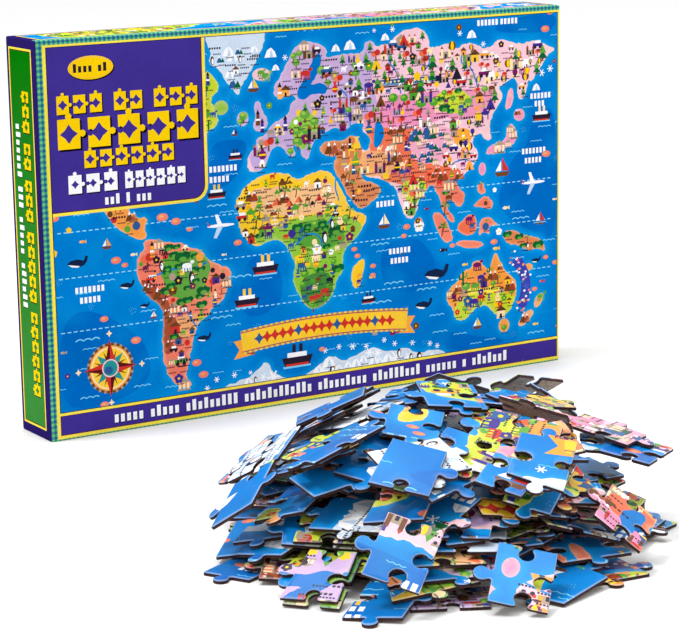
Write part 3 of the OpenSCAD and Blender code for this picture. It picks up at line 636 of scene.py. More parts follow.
def water_details(pitch, margin):
    """Small drawings on open water, clear of the shores and of the larger ones there, in the same form."""
    draw = random.Random(SEED + 1)
    larger = [place for places in SEA_ICONS.values() for place in places if place[2] > 5]
    places = []
    for x, y in loose_grid(draw, pitch, 0.4):
        icon, accent = draw.choice(SEA_DETAILS), draw.choice(ACCENTS)
        size = draw.uniform(0.3, 0.55) * pitch * (1.5 if icon == "wave" else 1.0)
        clear = all(math.hypot(x - a, y - b) > 0.6 * (size + c) for a, b, c in larger)
        if clear and topmost(x, y) is None and to_shore(x, y) > margin:
            places.append((icon, accent, x, y, size))
    return places


details = water_details(12.0, 3.0) + land_details(5.4, 1.3)


def dashes(x0, x1, y, dash=2.1, gap=1.5, width=0.55):
    """A broken line along a parallel."""
    starts = (x0 + k * (dash + gap) for k in range(int((x1 - x0) / (dash + gap))))
    return [slab(x, y - width / 2, x + dash, y + width / 2) for x in starts]


def draw_map(art, sea):
    """The whole map, clipped to the outline sea."""
    for outline in CURRENTS:
        art.add("deep", smooth(outline), sea)
    for y in PARALLELS:
        for outline in dashes(*PARALLEL_ENDS, y):
            art.add("dash", outline, sea)
    for x, y, marks in OCEAN_NAMES:
        for left in (x + MARK_STEP * k for k in range(marks)):
            art.add("snow", slab(left, y - MARK, left + MARK, y + MARK), sea)
    numbers = {}
    for name, land in lands.items():
        homes = [numbers[land.home]] if land.home else []
        numbers[name] = art.add(land.colour, land.outline, sea, *homes)
    art.add("reef", smooth(ribbon(REEF, REEF_WIDTH), 1), sea)
    draw = random.Random(SEED)
    for colour in CORALS:
        x, y = draw.choice(REEF)
        art.add(colour, disc(x + draw.uniform(-4, 4), y + draw.uniform(-4, 4), 0.9, 0.7, 6), sea)
    draw = random.Random(SEED)
    for icon, places in SEA_ICONS.items():
        for place in places:
            art.add_icon(icon, draw.choice(SEA_ACCENTS), *place, sea)
    for width, course in RIVERS:
        art.add("sea", ribbon(smooth_line(course), width), sea)
    art.add_icon("train", None, *TRAIN, sea)
    for detail in details:
        art.add_icon(*detail, sea)
    draw_compass(art, sea)
    draw_banner(art, sea)


def draw_compass(art, sea):
    """A compass rose with studs round its rim, and a small star where each letter would be."""
    x, y = COMPASS
    art.add("bark", disc(x, y, COMPASS_RADIUS, count=32), sea)
    for a in (k * math.pi / 12 for k in range(24)):
        art.add("stone", disc(x + 13 * math.cos(a), y + 13 * math.sin(a), 0.9, 0.9, 6), sea)
    for colour, radius in (("amber", 12.2), ("cream", 11.4), ("sun", 10.6)):
        art.add(colour, disc(x, y, radius, count=32), sea)
    art.add("bark", star(x, y, 10.4, 2.6, 8, math.pi / 8), sea)
    art.add("teal", star(x, y, 10.6, 4.0, 4, math.pi / 4), sea)
    art.add("maroon", star(x, y, 15.6, 4.2, 4), sea)
    for k in range(4):
        c, s = math.cos(k * math.pi / 2), math.sin(k * math.pi / 2)
        lit_half = [(x, y), (x + 3.2 * c - 3.2 * s, y + 3.2 * s + 3.2 * c), (x - 15.6 * s, y + 15.6 * c)]
        art.add("brick", lit_half, sea)
        art.add("cream", star(x - 18.6 * s, y + 18.6 * c, 1.9, 0.9, 4), sea)
    for colour, radius in (("blush", 4.9), ("teal", 4.2)):
        art.add(colour, disc(x, y, radius, count=20), sea)
    art.add("slate", disc(x - 1, y - 1, 2.6, 2.2, 10), sea)


def draw_banner(art, sea):
    """A ribbon with checked edges and forked tails, arched over the southern ocean."""
    def arch(x):
        return BANNER_CREST[1] - BANNER_SAG * (x - BANNER_CREST[0]) ** 2

    def band(colour, width):
        art.add(colour, ribbon([(x, arch(x)) for x in np.linspace(*BANNER_ENDS, 13)], width), sea)

    for side in (-1, 1):
        tip, root = TAIL_MIDDLE + side * TAIL_TIP, TAIL_MIDDLE + side * TAIL_ROOT
        art.add("amber", [(tip, 39.5), (tip - side * 3.5, 34.5), (tip, 29.5), (root, 31), (root, 40.5)], sea)
        art.add("rust", [(root, 32), (root + side * 5, 35), (root + side * 7, 32.5), (root, 30.5)], sea)
    band("stone", 13.0)
    for x in np.arange(116, 222, 3.4):  # the checks along both edges
        for y in (arch(x) - 6, arch(x) + 6):
            art.add("sun", slab(x, y - 0.6, x + 1.7, y + 0.6), sea)
    for colour, width in (("rust", 11.2), ("tan", 10.2), ("sun", 9.6)):
        band(colour, width)
    for k, x in enumerate(np.arange(126, 213, 5.0)):  # a row of plain diamonds
        art.add("brick" if k % 5 else "slate", star(x, arch(x), 3.4, 1.7, 4), sea)


# ---------------------------------------------------------------- the lid's cover

lid_low, lid_high = (np.array(v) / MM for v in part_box("lid_wrap"))
tray_low, tray_high = (np.array(v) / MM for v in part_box("tray_wrap"))
LENGTH, _, HEIGHT = lid_high - lid_low

CHECKS = 4.6  # how far the checked border goes on over the edges of the top and the bottom wall
# colours and edges of the front's panels: left, low, right, high
BORDER = [("lemon", 3.7, 0.9, LENGTH + 0.1, 206.3), ("navy", 5.5, 14.6, 328.5, 205.2)]
SEA = (6, 15, 328.1, 204.8)
LEGEND = [("maroon", 5.6, 2.6, 328.4, 13.2), ("violet", 6, 3, 328.1, 12.9)]
TITLE_LOW, TITLE_RIGHT = 118.4, 97
TITLE_PANEL = [  # left, low, right and high, and the radius of the free corner
    ("lemon", 6, TITLE_LOW, TITLE_RIGHT, 204.8, 8.5),
    ("maroon", 6, 120, 95.2, 204.8, 7),
    ("violet", 6, 120.5, 94.6, 204.8, 6.5)]
TITLE_ROWS = [  # left, right, low and high, and the pieces in each group
    ("gold", 10.5, 92, 170.5, 180, (3, 2, 3)),
    ("gold", 10.5, 92, 152.5, 168, (5,)),
    ("gold", 25, 77, 142, 150.8, (6,)),
    ("snow", 15.5, 43.5, 129.2, 138.8, (3,)),
    ("snow", 48, 83.5, 129.4, 138, (6,))]
BADGE = [  # middle and radii
    ("black", 30.9, 193.1, 13.2, 6.4), ("gold", 30.5, 193.5, 12.9, 6.1),
    ("amber", 30.5, 193.5, 12.2, 5.5), ("gold", 30.5, 193.5, 11.9, 5.2)]
END_INSET, END_LOW, END_HIGH = 5.7, 5, 204  # of the green panel on each end
WALL_REACH = 33  # how far the printed panels go on a wall
FRAME_LINE, FRAME_RULE = 1.1, 0.45
BLOCK_GAP, GROUP_GAP = 0.36, 1.0  # between jigsaw pieces, and between groups of them, as shares of a piece
TOP_SHIFT, BOTTOM_SHIFT = 72.0, -80.0  # of the map on those walls, from its place on the front


def jigsaw(width, height, tabs):
    """A plain jigsaw piece. tabs says for each side, from the bottom round to the left, 1 for a knob and -1
    for a hole."""
    corners = np.array(slab(0, 0, width, height))
    radius = 0.15 * min(width, height)
    line = []
    for start, end, tab in zip(corners, np.roll(corners, -1, 0), tabs):
        along = (end - start) / np.linalg.norm(end - start)
        out = np.array([along[1], -along[0]]) * tab
        line.append(start)
        if tab:
            middle = (start + end) / 2 + out * radius * 0.7
            line += [middle - along * radius * math.cos(a) + out * radius * math.sin(a)
                     for a in (-0.7, 0.2, 1.1, 2.05, 2.95, 3.85)]
    return np.array(line)


def blocks(art, colour, window, x0, x1, y0, y1, words, down=False, spark=0.4):
    """A row of small jigsaw pieces where lettering would be. words says how many pieces each group has, and
    window is the colour of the small star in the middle of each piece.
    With down, the row runs down an end of the box instead of along the front."""
    step = (x1 - x0) / (sum(words) + BLOCK_GAP * (sum(words) - len(words)) + GROUP_GAP * (len(words) - 1))
    place = x0
    for count in words:
        for k in range(count):
            low, size = np.array([place, y0]), np.array([step, y1 - y0])
            tabs = (0, 1 if k < count - 1 else 0, 1 - k % 2, -1 if k else 0)
            if down:
                low, size, tabs = low[::-1], size[::-1], (tabs[3], *tabs[:3])
            for ink, offset in (("black", 0.07 * (y1 - y0)), (colour, 0)):
                art.add(ink, jigsaw(*size, tabs) + low + (offset, -offset))
            reach = spark * min(size)
            art.add(window, star(*(low + size / 2), reach, 0.6 * reach, 4))
            place += step * (1 + BLOCK_GAP)
        place += step * (GROUP_GAP - BLOCK_GAP)


def dots(art, colour, x0, x1, y0, y1, words, seed, shadow=None, down=False):
    """Groups of small plain bars where fine lettering would be."""
    draw = random.Random(seed)
    step = (x1 - x0) / (sum(words) + 0.9 * (len(words) - 1))
    place = x0
    for count in words:
        for _ in range(count):
            top = y1 if draw.random() < 0.3 else y0 + 0.72 * (y1 - y0)
            end = place + 0.62 * step
            bar = np.array(slab(y0, place, top, end) if down else slab(place, y0, end, top))
            if shadow:
                art.add(shadow, bar + (0.4, -0.4))
            art.add(colour, bar)
            place += step
        place += 0.9 * step


def rounded(x0, y0, x1, y1, radius):
    """A rectangle with its lower right corner rounded."""
    angles = np.linspace(0, math.pi / 2, 7)
    turn = [(x1 - radius + radius * math.sin(a), y0 + radius - radius * math.cos(a)) for a in angles]
    return [(x0, y0), *turn, (x1, y1), (x0, y1)]


def frame_lines(art, x0, y0, x1, y1, fill, line=FRAME_LINE, rule=FRAME_RULE):
    """A yellow line, a dark rule inside it, and a filled panel inside that."""
    for colour, inset in (("lemon", 0), ("maroon", line), (fill, line + rule)):
        number = art.add(colour, slab(x0 + inset, y0 + inset, x1 - inset, y1 - inset))
    return number


def strip_shift(y):
    """How far the slice of map on the top or the bottom wall is moved from its place on the front."""
    return TOP_SHIFT if y > HEIGHT else BOTTOM_SHIFT if y < 0 else 0.0


def draw_front(art):
    """The checked border, the map, the title's panel with its badge, and the strip along the bottom."""
    art.add("gingham", slab(0, 0, LENGTH, HEIGHT + CHECKS))
    art.add("gingham", slab(0, -CHECKS, LENGTH, 0))
    for colour, *edges in BORDER:
        art.add(colour, slab(*edges))
    draw_map(art, art.add("sea", slab(*SEA)))
    art.clear((0, TITLE_LOW), (TITLE_RIGHT, HEIGHT + 3))
    for colour, *edges in LEGEND:
        art.add(colour, slab(*edges))
    dots(art, "snow", 37, 293, 5.2, 11.2, (5, 5, 9, 12, 9, 9, 6, 1, 7), 5, "black")
    for colour, *corner_cut in TITLE_PANEL:
        art.add(colour, rounded(*corner_cut))
    for colour, *oval in BADGE:
        art.add(colour, disc(*oval, 28))
    dots(art, "night", 20.5, 40.5, 191.3, 195.8, (4, 2), 3)
    for colour, *row in TITLE_ROWS:
        blocks(art, colour, "violet", *row, spark=0.4 if colour == "gold" else 0.3)
    dots(art, "snow", 36, 64, 121.9, 127.2, (3, 1, 3), 2, "black")


def draw_end(art, x0, x1):
    """A green panel, darker at the top, with a row of jigsaw pieces and one of bars running down it."""
    panel = frame_lines(art, x0, END_LOW, x1, END_HIGH, "end_top")
    art.add("end_fade", slab(x0 + 1.6, END_LOW + 1.6, x1 - 1.6, END_HIGH - 1.6), panel)
    middle = (x0 + x1) / 2
    blocks(art, "gold", "end_fade", 22, 182, middle + 0.6, middle + 8.2, (6, 5, 3, 2, 3), down=True)
    dots(art, "snow", 68, 166, middle - 8.6, middle - 3.2, (6, 5, 3, 7), 4, "black", down=True)


def draw_strip(art, y0, y1):
    """A slice of the map on the top or the bottom wall."""
    panel = frame_lines(art, 4, y0, LENGTH - 4, y1, "sea")
    whole = Drawing()
    draw_map(whole, whole.add("sea", slab(0, 0, LENGTH, HEIGHT)))
    first = len(art.shapes)
    shift = np.array([0, strip_shift(y0)])
    for shape in whole.shapes:
        inside = {panel, *(first + k for k in shape.inside)}
        art.shapes.append(Shape(shape.colour, shape.outline + shift, inside))


def draw_cover():
    """The lid's sheet laid flat: the front from (0, 0) to (LENGTH, HEIGHT), and the four walls around it."""
    art = Drawing()
    draw_front(art)
    for x0, x1 in ((-WALL_REACH, -END_INSET), (LENGTH + END_INSET, LENGTH + WALL_REACH)):
        draw_end(art, x0, x1)
    for y0, y1 in ((HEIGHT + CHECKS, HEIGHT + WALL_REACH), (-WALL_REACH, -CHECKS)):
        draw_strip(art, y0, y1)
    return art


def draw_back():
    """The tray's sheet laid flat: a plain panel with a yellow line and a row of jigsaw pieces."""
    art = Drawing()
    length, _, height = tray_high - tray_low
    frame_lines(art, 8, 8, length - 8, height - 8, "violet", 1.6, 0.6)
    blocks(art, "gold", "violet", length / 2 - 45, length / 2 + 45, height / 2 - 9, height / 2 + 9, (5,))
    return art


# ---------------------------------------------------------------- cutting a drawing into triangles

Picture = namedtuple("Picture", "shapes lows highs")
MERGE = 1e-4  # points nearer than this become one


def finished(shapes):
    """A drawing's shapes with their extents, so that those near a region are quickly found."""
    lows = np.array([shape.outline.min(0) for shape in shapes])
    highs = np.array([shape.outline.max(0) for shape in shapes])
    return Picture(shapes, lows, highs)


def cut(region, picture, lines, spots):
    """Splits a region along the outlines of the shapes that meet it, and along some lines.
    Gives the points, the triangles, and the colour on top of each triangle, or None where it is bare."""
    low, high = np.min(region, axis=0), np.max(region, axis=0)
    points, faces, owners, edges = list(region), [range(len(region))], [None], []
    shapes = picture.shapes
    for index in np.flatnonzero(((picture.lows < high) & (picture.highs > low)).all(1)):
        faces.append(range(len(points), len(points) + len(shapes[index].outline)))
        points.extend(shapes[index].outline)
        owners.append(index)
    for line in lines:
        edges += [(len(points) + k, len(points) + k + 1) for k in range(len(line) - 1)]
        points.extend(line)
    points.extend(spots)
    points = [Vector(p) for p in points]
    vertices, _, found, _, _, covered = delaunay_2d_cdt(points, edges, faces, 1, MERGE, True)
    triangles, colours = [], []
    for triangle, over in zip(found, covered):
        if 0 in over:  # within the region
            present = {owners[o] for o in over if o}
            top = max((i for i in present if shapes[i].inside <= present), default=None)
            triangles.append(triangle)
            colours.append(None if top is None else shapes[top].colour)
    kept = sorted({v for t in triangles for v in t})
    new = {old: k for k, old in enumerate(kept)}
    return np.array([vertices[v] for v in kept]), [[new[v] for v in t] for t in triangles], colours


def grid(low, high, pitch):
    """Loose points that let a colour shade smoothly over a large area."""
    columns, rows = (max(1, int((b - a) / pitch)) for a, b in zip(low, high))
    wide, tall = high - low
    return [(low[0] + (i + 0.5 * (j % 2) + 0.25) * wide / columns, low[1] + (j + 0.5) * tall / rows)
            for j in range(rows) for i in range(columns)]


def boundary(faces):
    """The vertices round the rim of a patch of faces, in the faces' own direction."""
    edges = {(a, b) for face in faces for a, b in zip(face, [*face[1:], face[0]])}
    ahead = {a: b for a, b in edges if (b, a) not in edges}
    loop = [min(ahead)]
    while ahead[loop[-1]] != loop[0]:
        loop.append(ahead[loop[-1]])
        if len(loop) > len(ahead):
            raise ValueError("a patch of faces touches itself at a corner")
    return loop


def build(name, vertices, faces, colours, slots, materials, body, node):
    """A mesh with a colour at each corner of each face, riding on a body in place of its CAD node."""
    mesh = bpy.data.meshes.new(name)
    mesh.from_pydata([Vector(v) * MM for v in vertices], [], faces)
    ink = mesh.color_attributes.new("ink", "FLOAT_COLOR", "CORNER")
    ink.data.foreach_set("color", np.array(colours, np.float32).ravel())
    mesh.polygons.foreach_set("material_index", slots)
    for material in materials:
        mesh.materials.append(material)
    mesh.validate()
    mesh.update()
    piece = bpy.data.objects.new(name, mesh)
    bpy.context.scene.collection.objects.link(piece)
    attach(piece, body)
    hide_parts(node)
    return piece


# ---------------------------------------------------------------- materials

GRAIN = 900.0  # fine noise on printed paper, in waves per metre
PATCHES = 45.0  # the press's unevenness
VARNISH = 1500.0
PRINT_ROUGHNESS, VARNISH_ROUGHNESS = 0.42, 0.12
CHECK_PITCH = (2.6, 2.9)  # along the box, and up it
CHECK_INKS = [  # where neither or one band is, and where the other band is too
    ((112, 196, 128), (44, 142, 130)), ((58, 150, 110), (22, 84, 156))]


def new_material(name, roughness, coat=0.0, coat_roughness=0.1, specular=0.5):
    """A principled material, with a maker of nodes and a way to connect them to its shader."""
    material = bpy.data.materials.new(name)
    material.use_nodes = True
    tree = material.node_tree
    shader = tree.nodes["Principled BSDF"]
    shader.inputs["Roughness"].default_value = roughness
    shader.inputs["Coat Weight"].default_value = coat
    shader.inputs["Coat Roughness"].default_value = coat_roughness
    shader.inputs["Specular IOR Level"].default_value = specular

    def node(kind, out=0, **inputs):
        """One output of a new node. An input is named, or numbered with an underscore before the number."""
        made = tree.nodes.new(kind)
        for key, value in inputs.items():
            socket = int(key[1:]) if key[0] == "_" else key
            if key in ("operation", "data_type", "attribute_name"):
                setattr(made, key, value)
            elif isinstance(value, bpy.types.NodeSocket):
                tree.links.new(value, made.inputs[socket])
            else:
                made.inputs[socket].default_value = value
        return made.outputs[out]

    def connect(value, name):
        if isinstance(value, bpy.types.NodeSocket):
            tree.links.new(value, shader.inputs[name])
        else:
            shader.inputs[name].default_value = value

    return material, node, connect


def object_noise(node, scale, detail=2.0):
    """Noise fixed to the object, with scale in waves per metre."""
    return node("ShaderNodeTexNoise", Vector=node("ShaderNodeTexCoord", 3), Scale=scale, Detail=detail)


def tinted(node, colour, noise, low, high):
    """A colour made darker and lighter by noise, between two factors."""
    factor = node("ShaderNodeMapRange", Value=noise, _1=0.3, _2=0.7, _3=low, _4=high)
    return node("ShaderNodeVectorMath", operation="SCALE", _0=colour, _3=factor)


def print_material(name, coat, specular):
    """Process colour on coated paper, with the press's faint unevenness and a varnish."""
    material, node, connect = new_material(name, PRINT_ROUGHNESS, coat, VARNISH_ROUGHNESS, specular)
    ink = node("ShaderNodeAttribute", attribute_name="ink")
    patchy = tinted(node, ink, object_noise(node, PATCHES, 3.0), 0.93, 1.07)
    connect(tinted(node, patchy, object_noise(node, GRAIN), 0.95, 1.05), "Base Color")
    varnish = object_noise(node, VARNISH)
    connect(node("ShaderNodeMapRange", Value=varnish, _3=0.36, _4=0.48), "Roughness")
    connect(node("ShaderNodeBump", Strength=0.08, Distance=0.0001, Height=varnish), "Normal")
    return material


def gingham_material():
    """Woven checks: a green and a blue band each way, darker where two bands cross."""
    material, node, connect = new_material("gingham", PRINT_ROUGHNESS, 0.0, VARNISH_ROUGHNESS, 0.1)
    x, y, z = (node("ShaderNodeSeparateXYZ", k, Vector=node("ShaderNodeTexCoord", 3)) for k in range(3))
    up = node("ShaderNodeMath", operation="ADD", _0=z, _1=y)

    def bands(place, pitch):
        turns = node("ShaderNodeMath", operation="MULTIPLY", _0=place, _1=1 / (pitch * MM))
        part = node("ShaderNodeMath", operation="FRACT", _0=turns)
        wave = node("ShaderNodeMath", operation="PINGPONG", _0=part, _1=0.5)
        return node("ShaderNodeMapRange", Value=wave, _1=0.2, _2=0.3)

    def mix(factor, first, second):
        return node("ShaderNodeMix", 2, data_type="RGBA", Factor=factor, _6=first, _7=second)

    across, upright = bands(x, CHECK_PITCH[0]), bands(up, CHECK_PITCH[1])
    rows = [mix(across, linear(*light), linear(*dark)) for light, dark in CHECK_INKS]
    connect(tinted(node, mix(upright, *rows), object_noise(node, GRAIN), 0.9, 1.1), "Base Color")
    return material


def fibre_material(name, colour, spread, scale, roughness):
    """Board or paper: matted fibres in light and dark flecks."""
    material, node, connect = new_material(name, roughness, specular=0.2)
    base = node("ShaderNodeRGB")
    base.node.outputs[0].default_value = linear(*colour)
    fleck = object_noise(node, scale * 9)
    mottled = tinted(node, base, object_noise(node, scale, 4.0), 1 - spread, 1 + spread)
    connect(tinted(node, mottled, fleck, 1 - spread, 1 + spread), "Base Color")
    connect(node("ShaderNodeBump", Strength=0.25, Distance=0.0002, Height=fleck), "Normal")
    return material


def edge_material():
    """The cut side of a piece. Its corner colours run from dark at the print to brown at the back."""
    material, node, connect = new_material("cut_board", 0.8, specular=0.2)
    fibres = object_noise(node, 700.0, 3.0)
    connect(tinted(node, node("ShaderNodeAttribute", attribute_name="ink"), fibres, 0.6, 1.5), "Base Color")
    connect(node("ShaderNodeBump", Strength=0.3, Distance=0.0002, Height=fibres), "Normal")
    return material


cover_print = print_material("cover_print", 0.0, 0.0)
puzzle_print = print_material("puzzle_print", 0.45, 0.1)
gingham = gingham_material()
cut_edge = edge_material()
white_paper = fibre_material("white_paper", (232, 228, 216), 0.06, 160.0, 0.85)
kraft = fibre_material("kraft_paper", (186, 150, 108), 0.12, 140.0, 0.85)
greyboard = fibre_material("greyboard", (158, 150, 136), 0.14, 120.0, 0.9)

# ---------------------------------------------------------------- the wrap sheets

TILE = 30.0  # the sheet is cut up in tiles of about this size
SHADE_PITCH = 4.0  # of the loose points in a tile
EDGE_RADIUS = 0.9  # of a folded edge, small enough to clear the board inside it
RIM = BOARD + 2 * PAPER
FOLD_STEPS = [EDGE_RADIUS * (1 - math.tan(math.radians(a))) for a in (0, 15, 30, 45)]
WELD = 0.004  # joins the tiles, and the walls at the corners
SHEET = PAPER - 0.02  # thickness of the visible sheet, which clears the board


def fold(flat, size):
    """A point of the flat sheet, in the folded box of the size given: along, back from the panel, up."""
    s, t = flat
    length, depth, height = size
    over = max(-s, s - length, -t, t - height, 0.0)
    inward = min(max(over - depth, 0.0), RIM)
    back = over if over <= depth else min(depth, 2 * depth + RIM - over)
    place = np.array([min(max(s, inward), length - inward), back, min(max(t, inward), height - inward)])
    core = np.clip(place, EDGE_RADIUS, np.array(size) - EDGE_RADIUS)
    out = place - core
    reach = np.linalg.norm(out)
    return core + out * EDGE_RADIUS / reach if reach > EDGE_RADIUS * 0.999 else place


def sheet_regions(length, depth, height):
    """The flat sheet in parts: the four turned-in flaps, then tiles over the walls and the panel."""
    half = [(0, -depth), (RIM, -depth - RIM), (RIM, -depth - RIM - TURN_IN)]  # of the lower flap
    lower = half + [(length - s, t) for s, t in reversed(half)]
    left = [(t, s) for s, t in half] + [(t, height - s) for s, t in reversed(half)]
    yield from (lower, [(s, height - t) for s, t in lower], left, [(length - s, t) for s, t in left])
    columns, rows = tile_marks(length, depth), tile_marks(height, depth)
    for i, (s0, s1) in enumerate(zip(columns, columns[1:])):
        for j, (t0, t1) in enumerate(zip(rows, rows[1:])):
            if 0 < i < len(columns) - 2 or 0 < j < len(rows) - 2:  # no wall in the corners
                yield slab(s0, t0, s1, t1)


def tile_marks(span, depth):
    """Where the tiles meet, along or up the sheet."""
    return [-depth, *np.linspace(0, span, round(span / TILE) + 1), span + depth]


def fold_marks(span, depth):
    """Where the sheet bends, along or up it: in small steps round each folded edge, and once at the rim."""
    marks = [-depth - RIM, span + depth + RIM]
    for step in FOLD_STEPS + [-step for step in FOLD_STEPS]:
        marks += [step, span - step, step - depth, span + depth - step]
    return marks


def wrap_sheet(name, node, body, art, ground, low, high, facing):
    """A printed sheet folded round a box and turned in at the rim. facing is -1 if its panel looks to -Y,
    and 1 if it looks to +Y. ground is the colour of the bare sheet."""
    picture = finished(art.shapes)
    size = high - low
    length, depth, height = size
    reach = depth + RIM + TURN_IN
    across, upright = (tile_marks(span, depth) + fold_marks(span, depth) for span in (length, height))
    lines = [[(s, -reach), (s, height + reach)] for s in across]
    lines += [[(-reach, t), (length + reach, t)] for t in upright]
    flat, triangles, inks = [], [], []
    for region in map(anticlockwise, sheet_regions(*size)):
        corners = region.min(0), region.max(0)
        near = [line for line in lines
                if (np.min(line, 0) < corners[1]).all() and (np.max(line, 0) > corners[0]).all()]
        points, found, over = cut(region, picture, near, grid(corners[0] + 1, corners[1] - 1, SHADE_PITCH))
        triangles += [[v + len(flat) for v in t] for t in found]
        flat.extend(points)
        inks += over
    folded = np.array([fold(p, size) for p in flat])
    if facing < 0:
        folded = folded + low
    else:
        folded = np.array([high[0], high[1], low[2]]) + folded * (-1, -1, 1)
    colours = []
    for triangle, ink in zip(triangles, inks):
        for s, t in (flat[vertex] for vertex in triangle):
            if ink == "gingham":
                colours.append(INK["lemon"])
            elif ink == "end_fade":
                colours.append(blend(INK["end_low"], INK["end_top"], min(max(t / height, 0.0), 1.0)))
            else:
                colours.append(inked(ink or ground, s, t - strip_shift(t)))
    slots = [1 if ink == "gingham" else 0 for ink in inks]
    materials = [cover_print, gingham, white_paper]
    sheet = build(name, folded, triangles, colours, slots, materials, body, node)
    weld = sheet.modifiers.new("weld", "WELD")
    weld.merge_threshold = WELD * MM
    shell = sheet.modifiers.new("paper", "SOLIDIFY")
    shell.thickness = SHEET * MM
    shell.offset = -1
    shell.material_offset = shell.material_offset_rim = 2


wrap_sheet("cover_sheet", "lid_wrap", "lid_and_heap", draw_cover(), "violet_dark",
           lid_low, lid_high, -1)
wrap_sheet("tray_sheet", "tray_wrap", "tray", draw_back(), "violet", tray_low, tray_high, 1)

for box in ("lid", "tray"):
    for node, material in ((box + "_board", greyboard), (box + "_corner_stays", kraft)):
        for holder in frame["nodes"][node].material_slots:
            holder.material = material

# ---------------------------------------------------------------- how the puzzle is cut

MODULUS = 2147483647  # the pieces of the CAD model come from the same draws
WANDER_X, WANDER_Y = 2.0, 3.4
HEAD, NECK, FOOT = 3.5, 2.3, 1.05


def drawn(seed, turn):
    """A number from 0 to 1 that depends only on its two seeds."""
    a = (seed * 7919 + turn * 104729 + 12345) % MODULUS
    b = (a * 16807) % MODULUS
    c = (b * 48271 + 11) % MODULUS
    return ((c * 69621) % MODULUS) / MODULUS


def signed(seed, turn):
    """The same, from -1 to 1."""
    return 2 * drawn(seed, turn) - 1


def corner(i, j):
    """Where the cuts cross, as they wander from the even grid."""
    seed = i * (ROWS + 1) + j
    x = i * PUZZLE_LENGTH / COLUMNS + (WANDER_X * signed(seed, 1) if 0 < i < COLUMNS else 0)
    y = j * PUZZLE_HEIGHT / ROWS + (WANDER_Y * signed(seed, 2) if 0 < j < ROWS else 0)
    return np.array([x, y])


def knob(length, seed):
    """A cut from (0, 0) to (length, 0) with one knob: two small feet and a round head."""
    head = HEAD + 0.35 * signed(seed, 4)
    half = NECK + 0.2 * signed(seed, 5) + FOOT
    height = FOOT + math.sqrt((head + FOOT) ** 2 - half * half)
    sign = 1 if drawn(seed, 6) > 0.5 else -1
    middle = length * (0.5 + 0.07 * signed(seed, 7))
    tilt = math.atan2(height - FOOT, half)
    foot = [(middle - half + FOOT * math.cos(a), FOOT + FOOT * math.sin(a))
            for a in (-math.pi / 2 + (math.pi / 2 + tilt) * k / 2 for k in range(3))]
    dome = [(middle + head * math.cos(a), height + head * math.sin(a))
            for a in (math.pi + tilt - (math.pi + 2 * tilt) * k / 10 for k in range(1, 10))]
    line = foot + dome + [(2 * middle - x, y) for x, y in reversed(foot)]
    return [(x, sign * y) for x, y in line]


def side(i0, j0, i1, j1):
    """The cut between two corners, without its last point."""
    start, end = corner(i0, j0), corner(i1, j1)
    if (j0 == j1 and j0 in (0, ROWS)) or (i0 == i1 and i0 in (0, COLUMNS)):
        return [start]  # the straight border
    along = end - start
    length = math.hypot(*along)
    unit = along / length
    seed = (1000 if j0 == j1 else 2000) + i0 * (ROWS + 1) + j0
    return [start] + [start + unit * x + np.array([-unit[1], unit[0]]) * y for x, y in knob(length, seed)]


def reversed_side(i0, j0, i1, j1):
    """The same cut run the other way, again without its last point."""
    return [corner(i1, j1)] + side(i0, j0, i1, j1)[:0:-1]


def piece_outline(i, j):
    """A piece's printed side, anticlockwise from its lower left corner."""
    return np.array(side(i, j, i + 1, j) + side(i + 1, j, i + 1, j + 1)
                    + reversed_side(i, j + 1, i + 1, j + 1) + reversed_side(i, j, i, j + 1))


outlines = {(i, j): piece_outline(i, j) for i in range(COLUMNS) for j in range(ROWS)}
areas = {cell: abs(area(line)) for cell, line in outlines.items()}

# ---------------------------------------------------------------- where the pieces lie

Placed = namedtuple("Placed", "cell turn shift")
LEVEL = 0.999  # two faces whose normals agree to this are on one side of a piece
SLIVER = 1e-6  # a triangle too thin to have a normal
AREA_SLACK, STEP_SLACK = 0.5, 0.02  # between a CAD outline and the cut that it is matched to


def solids(node):
    """The points of a CAD node in millimetres, and the triangles of each of its separate solids."""
    mesh = frame["nodes"][node].data
    points = np.array([v.co for v in mesh.vertices]) / MM
    first = {}
    merged = [first.setdefault(tuple(np.round(p, 2)), k) for k, p in enumerate(points)]
    group = list(range(len(points)))

    def root(k):
        while group[k] != k:
            group[k] = group[group[k]]
            k = group[k]
        return k

    faces = [[merged[v] for v in polygon.vertices] for polygon in mesh.polygons]
    for face in faces:
        for v in face[1:]:
            group[root(v)] = root(face[0])
    parts = {}
    for face in faces:
        parts.setdefault(root(face[0]), []).append(face)
    return points, list(parts.values())


def rim_loops(points, faces):
    """The outlines of a flat piece's two sides, each running anticlockwise as seen from outside."""
    corners = points[np.array(faces)]
    crosses = np.cross(corners[:, 1] - corners[:, 0], corners[:, 2] - corners[:, 0])
    sizes = np.linalg.norm(crosses, axis=1)
    across = crosses[sizes.argmax()] / sizes.max()  # the largest triangle is on one of the two sides
    for facing in (across, -across):
        level = (crosses @ facing > LEVEL * sizes) & (sizes > SLIVER)
        yield points[boundary([face for face, kept in zip(faces, level) if kept])]


def steps_along(line):
    """The length of each side of a closed outline."""
    return np.linalg.norm(np.roll(line, -1, 0) - line, axis=1)


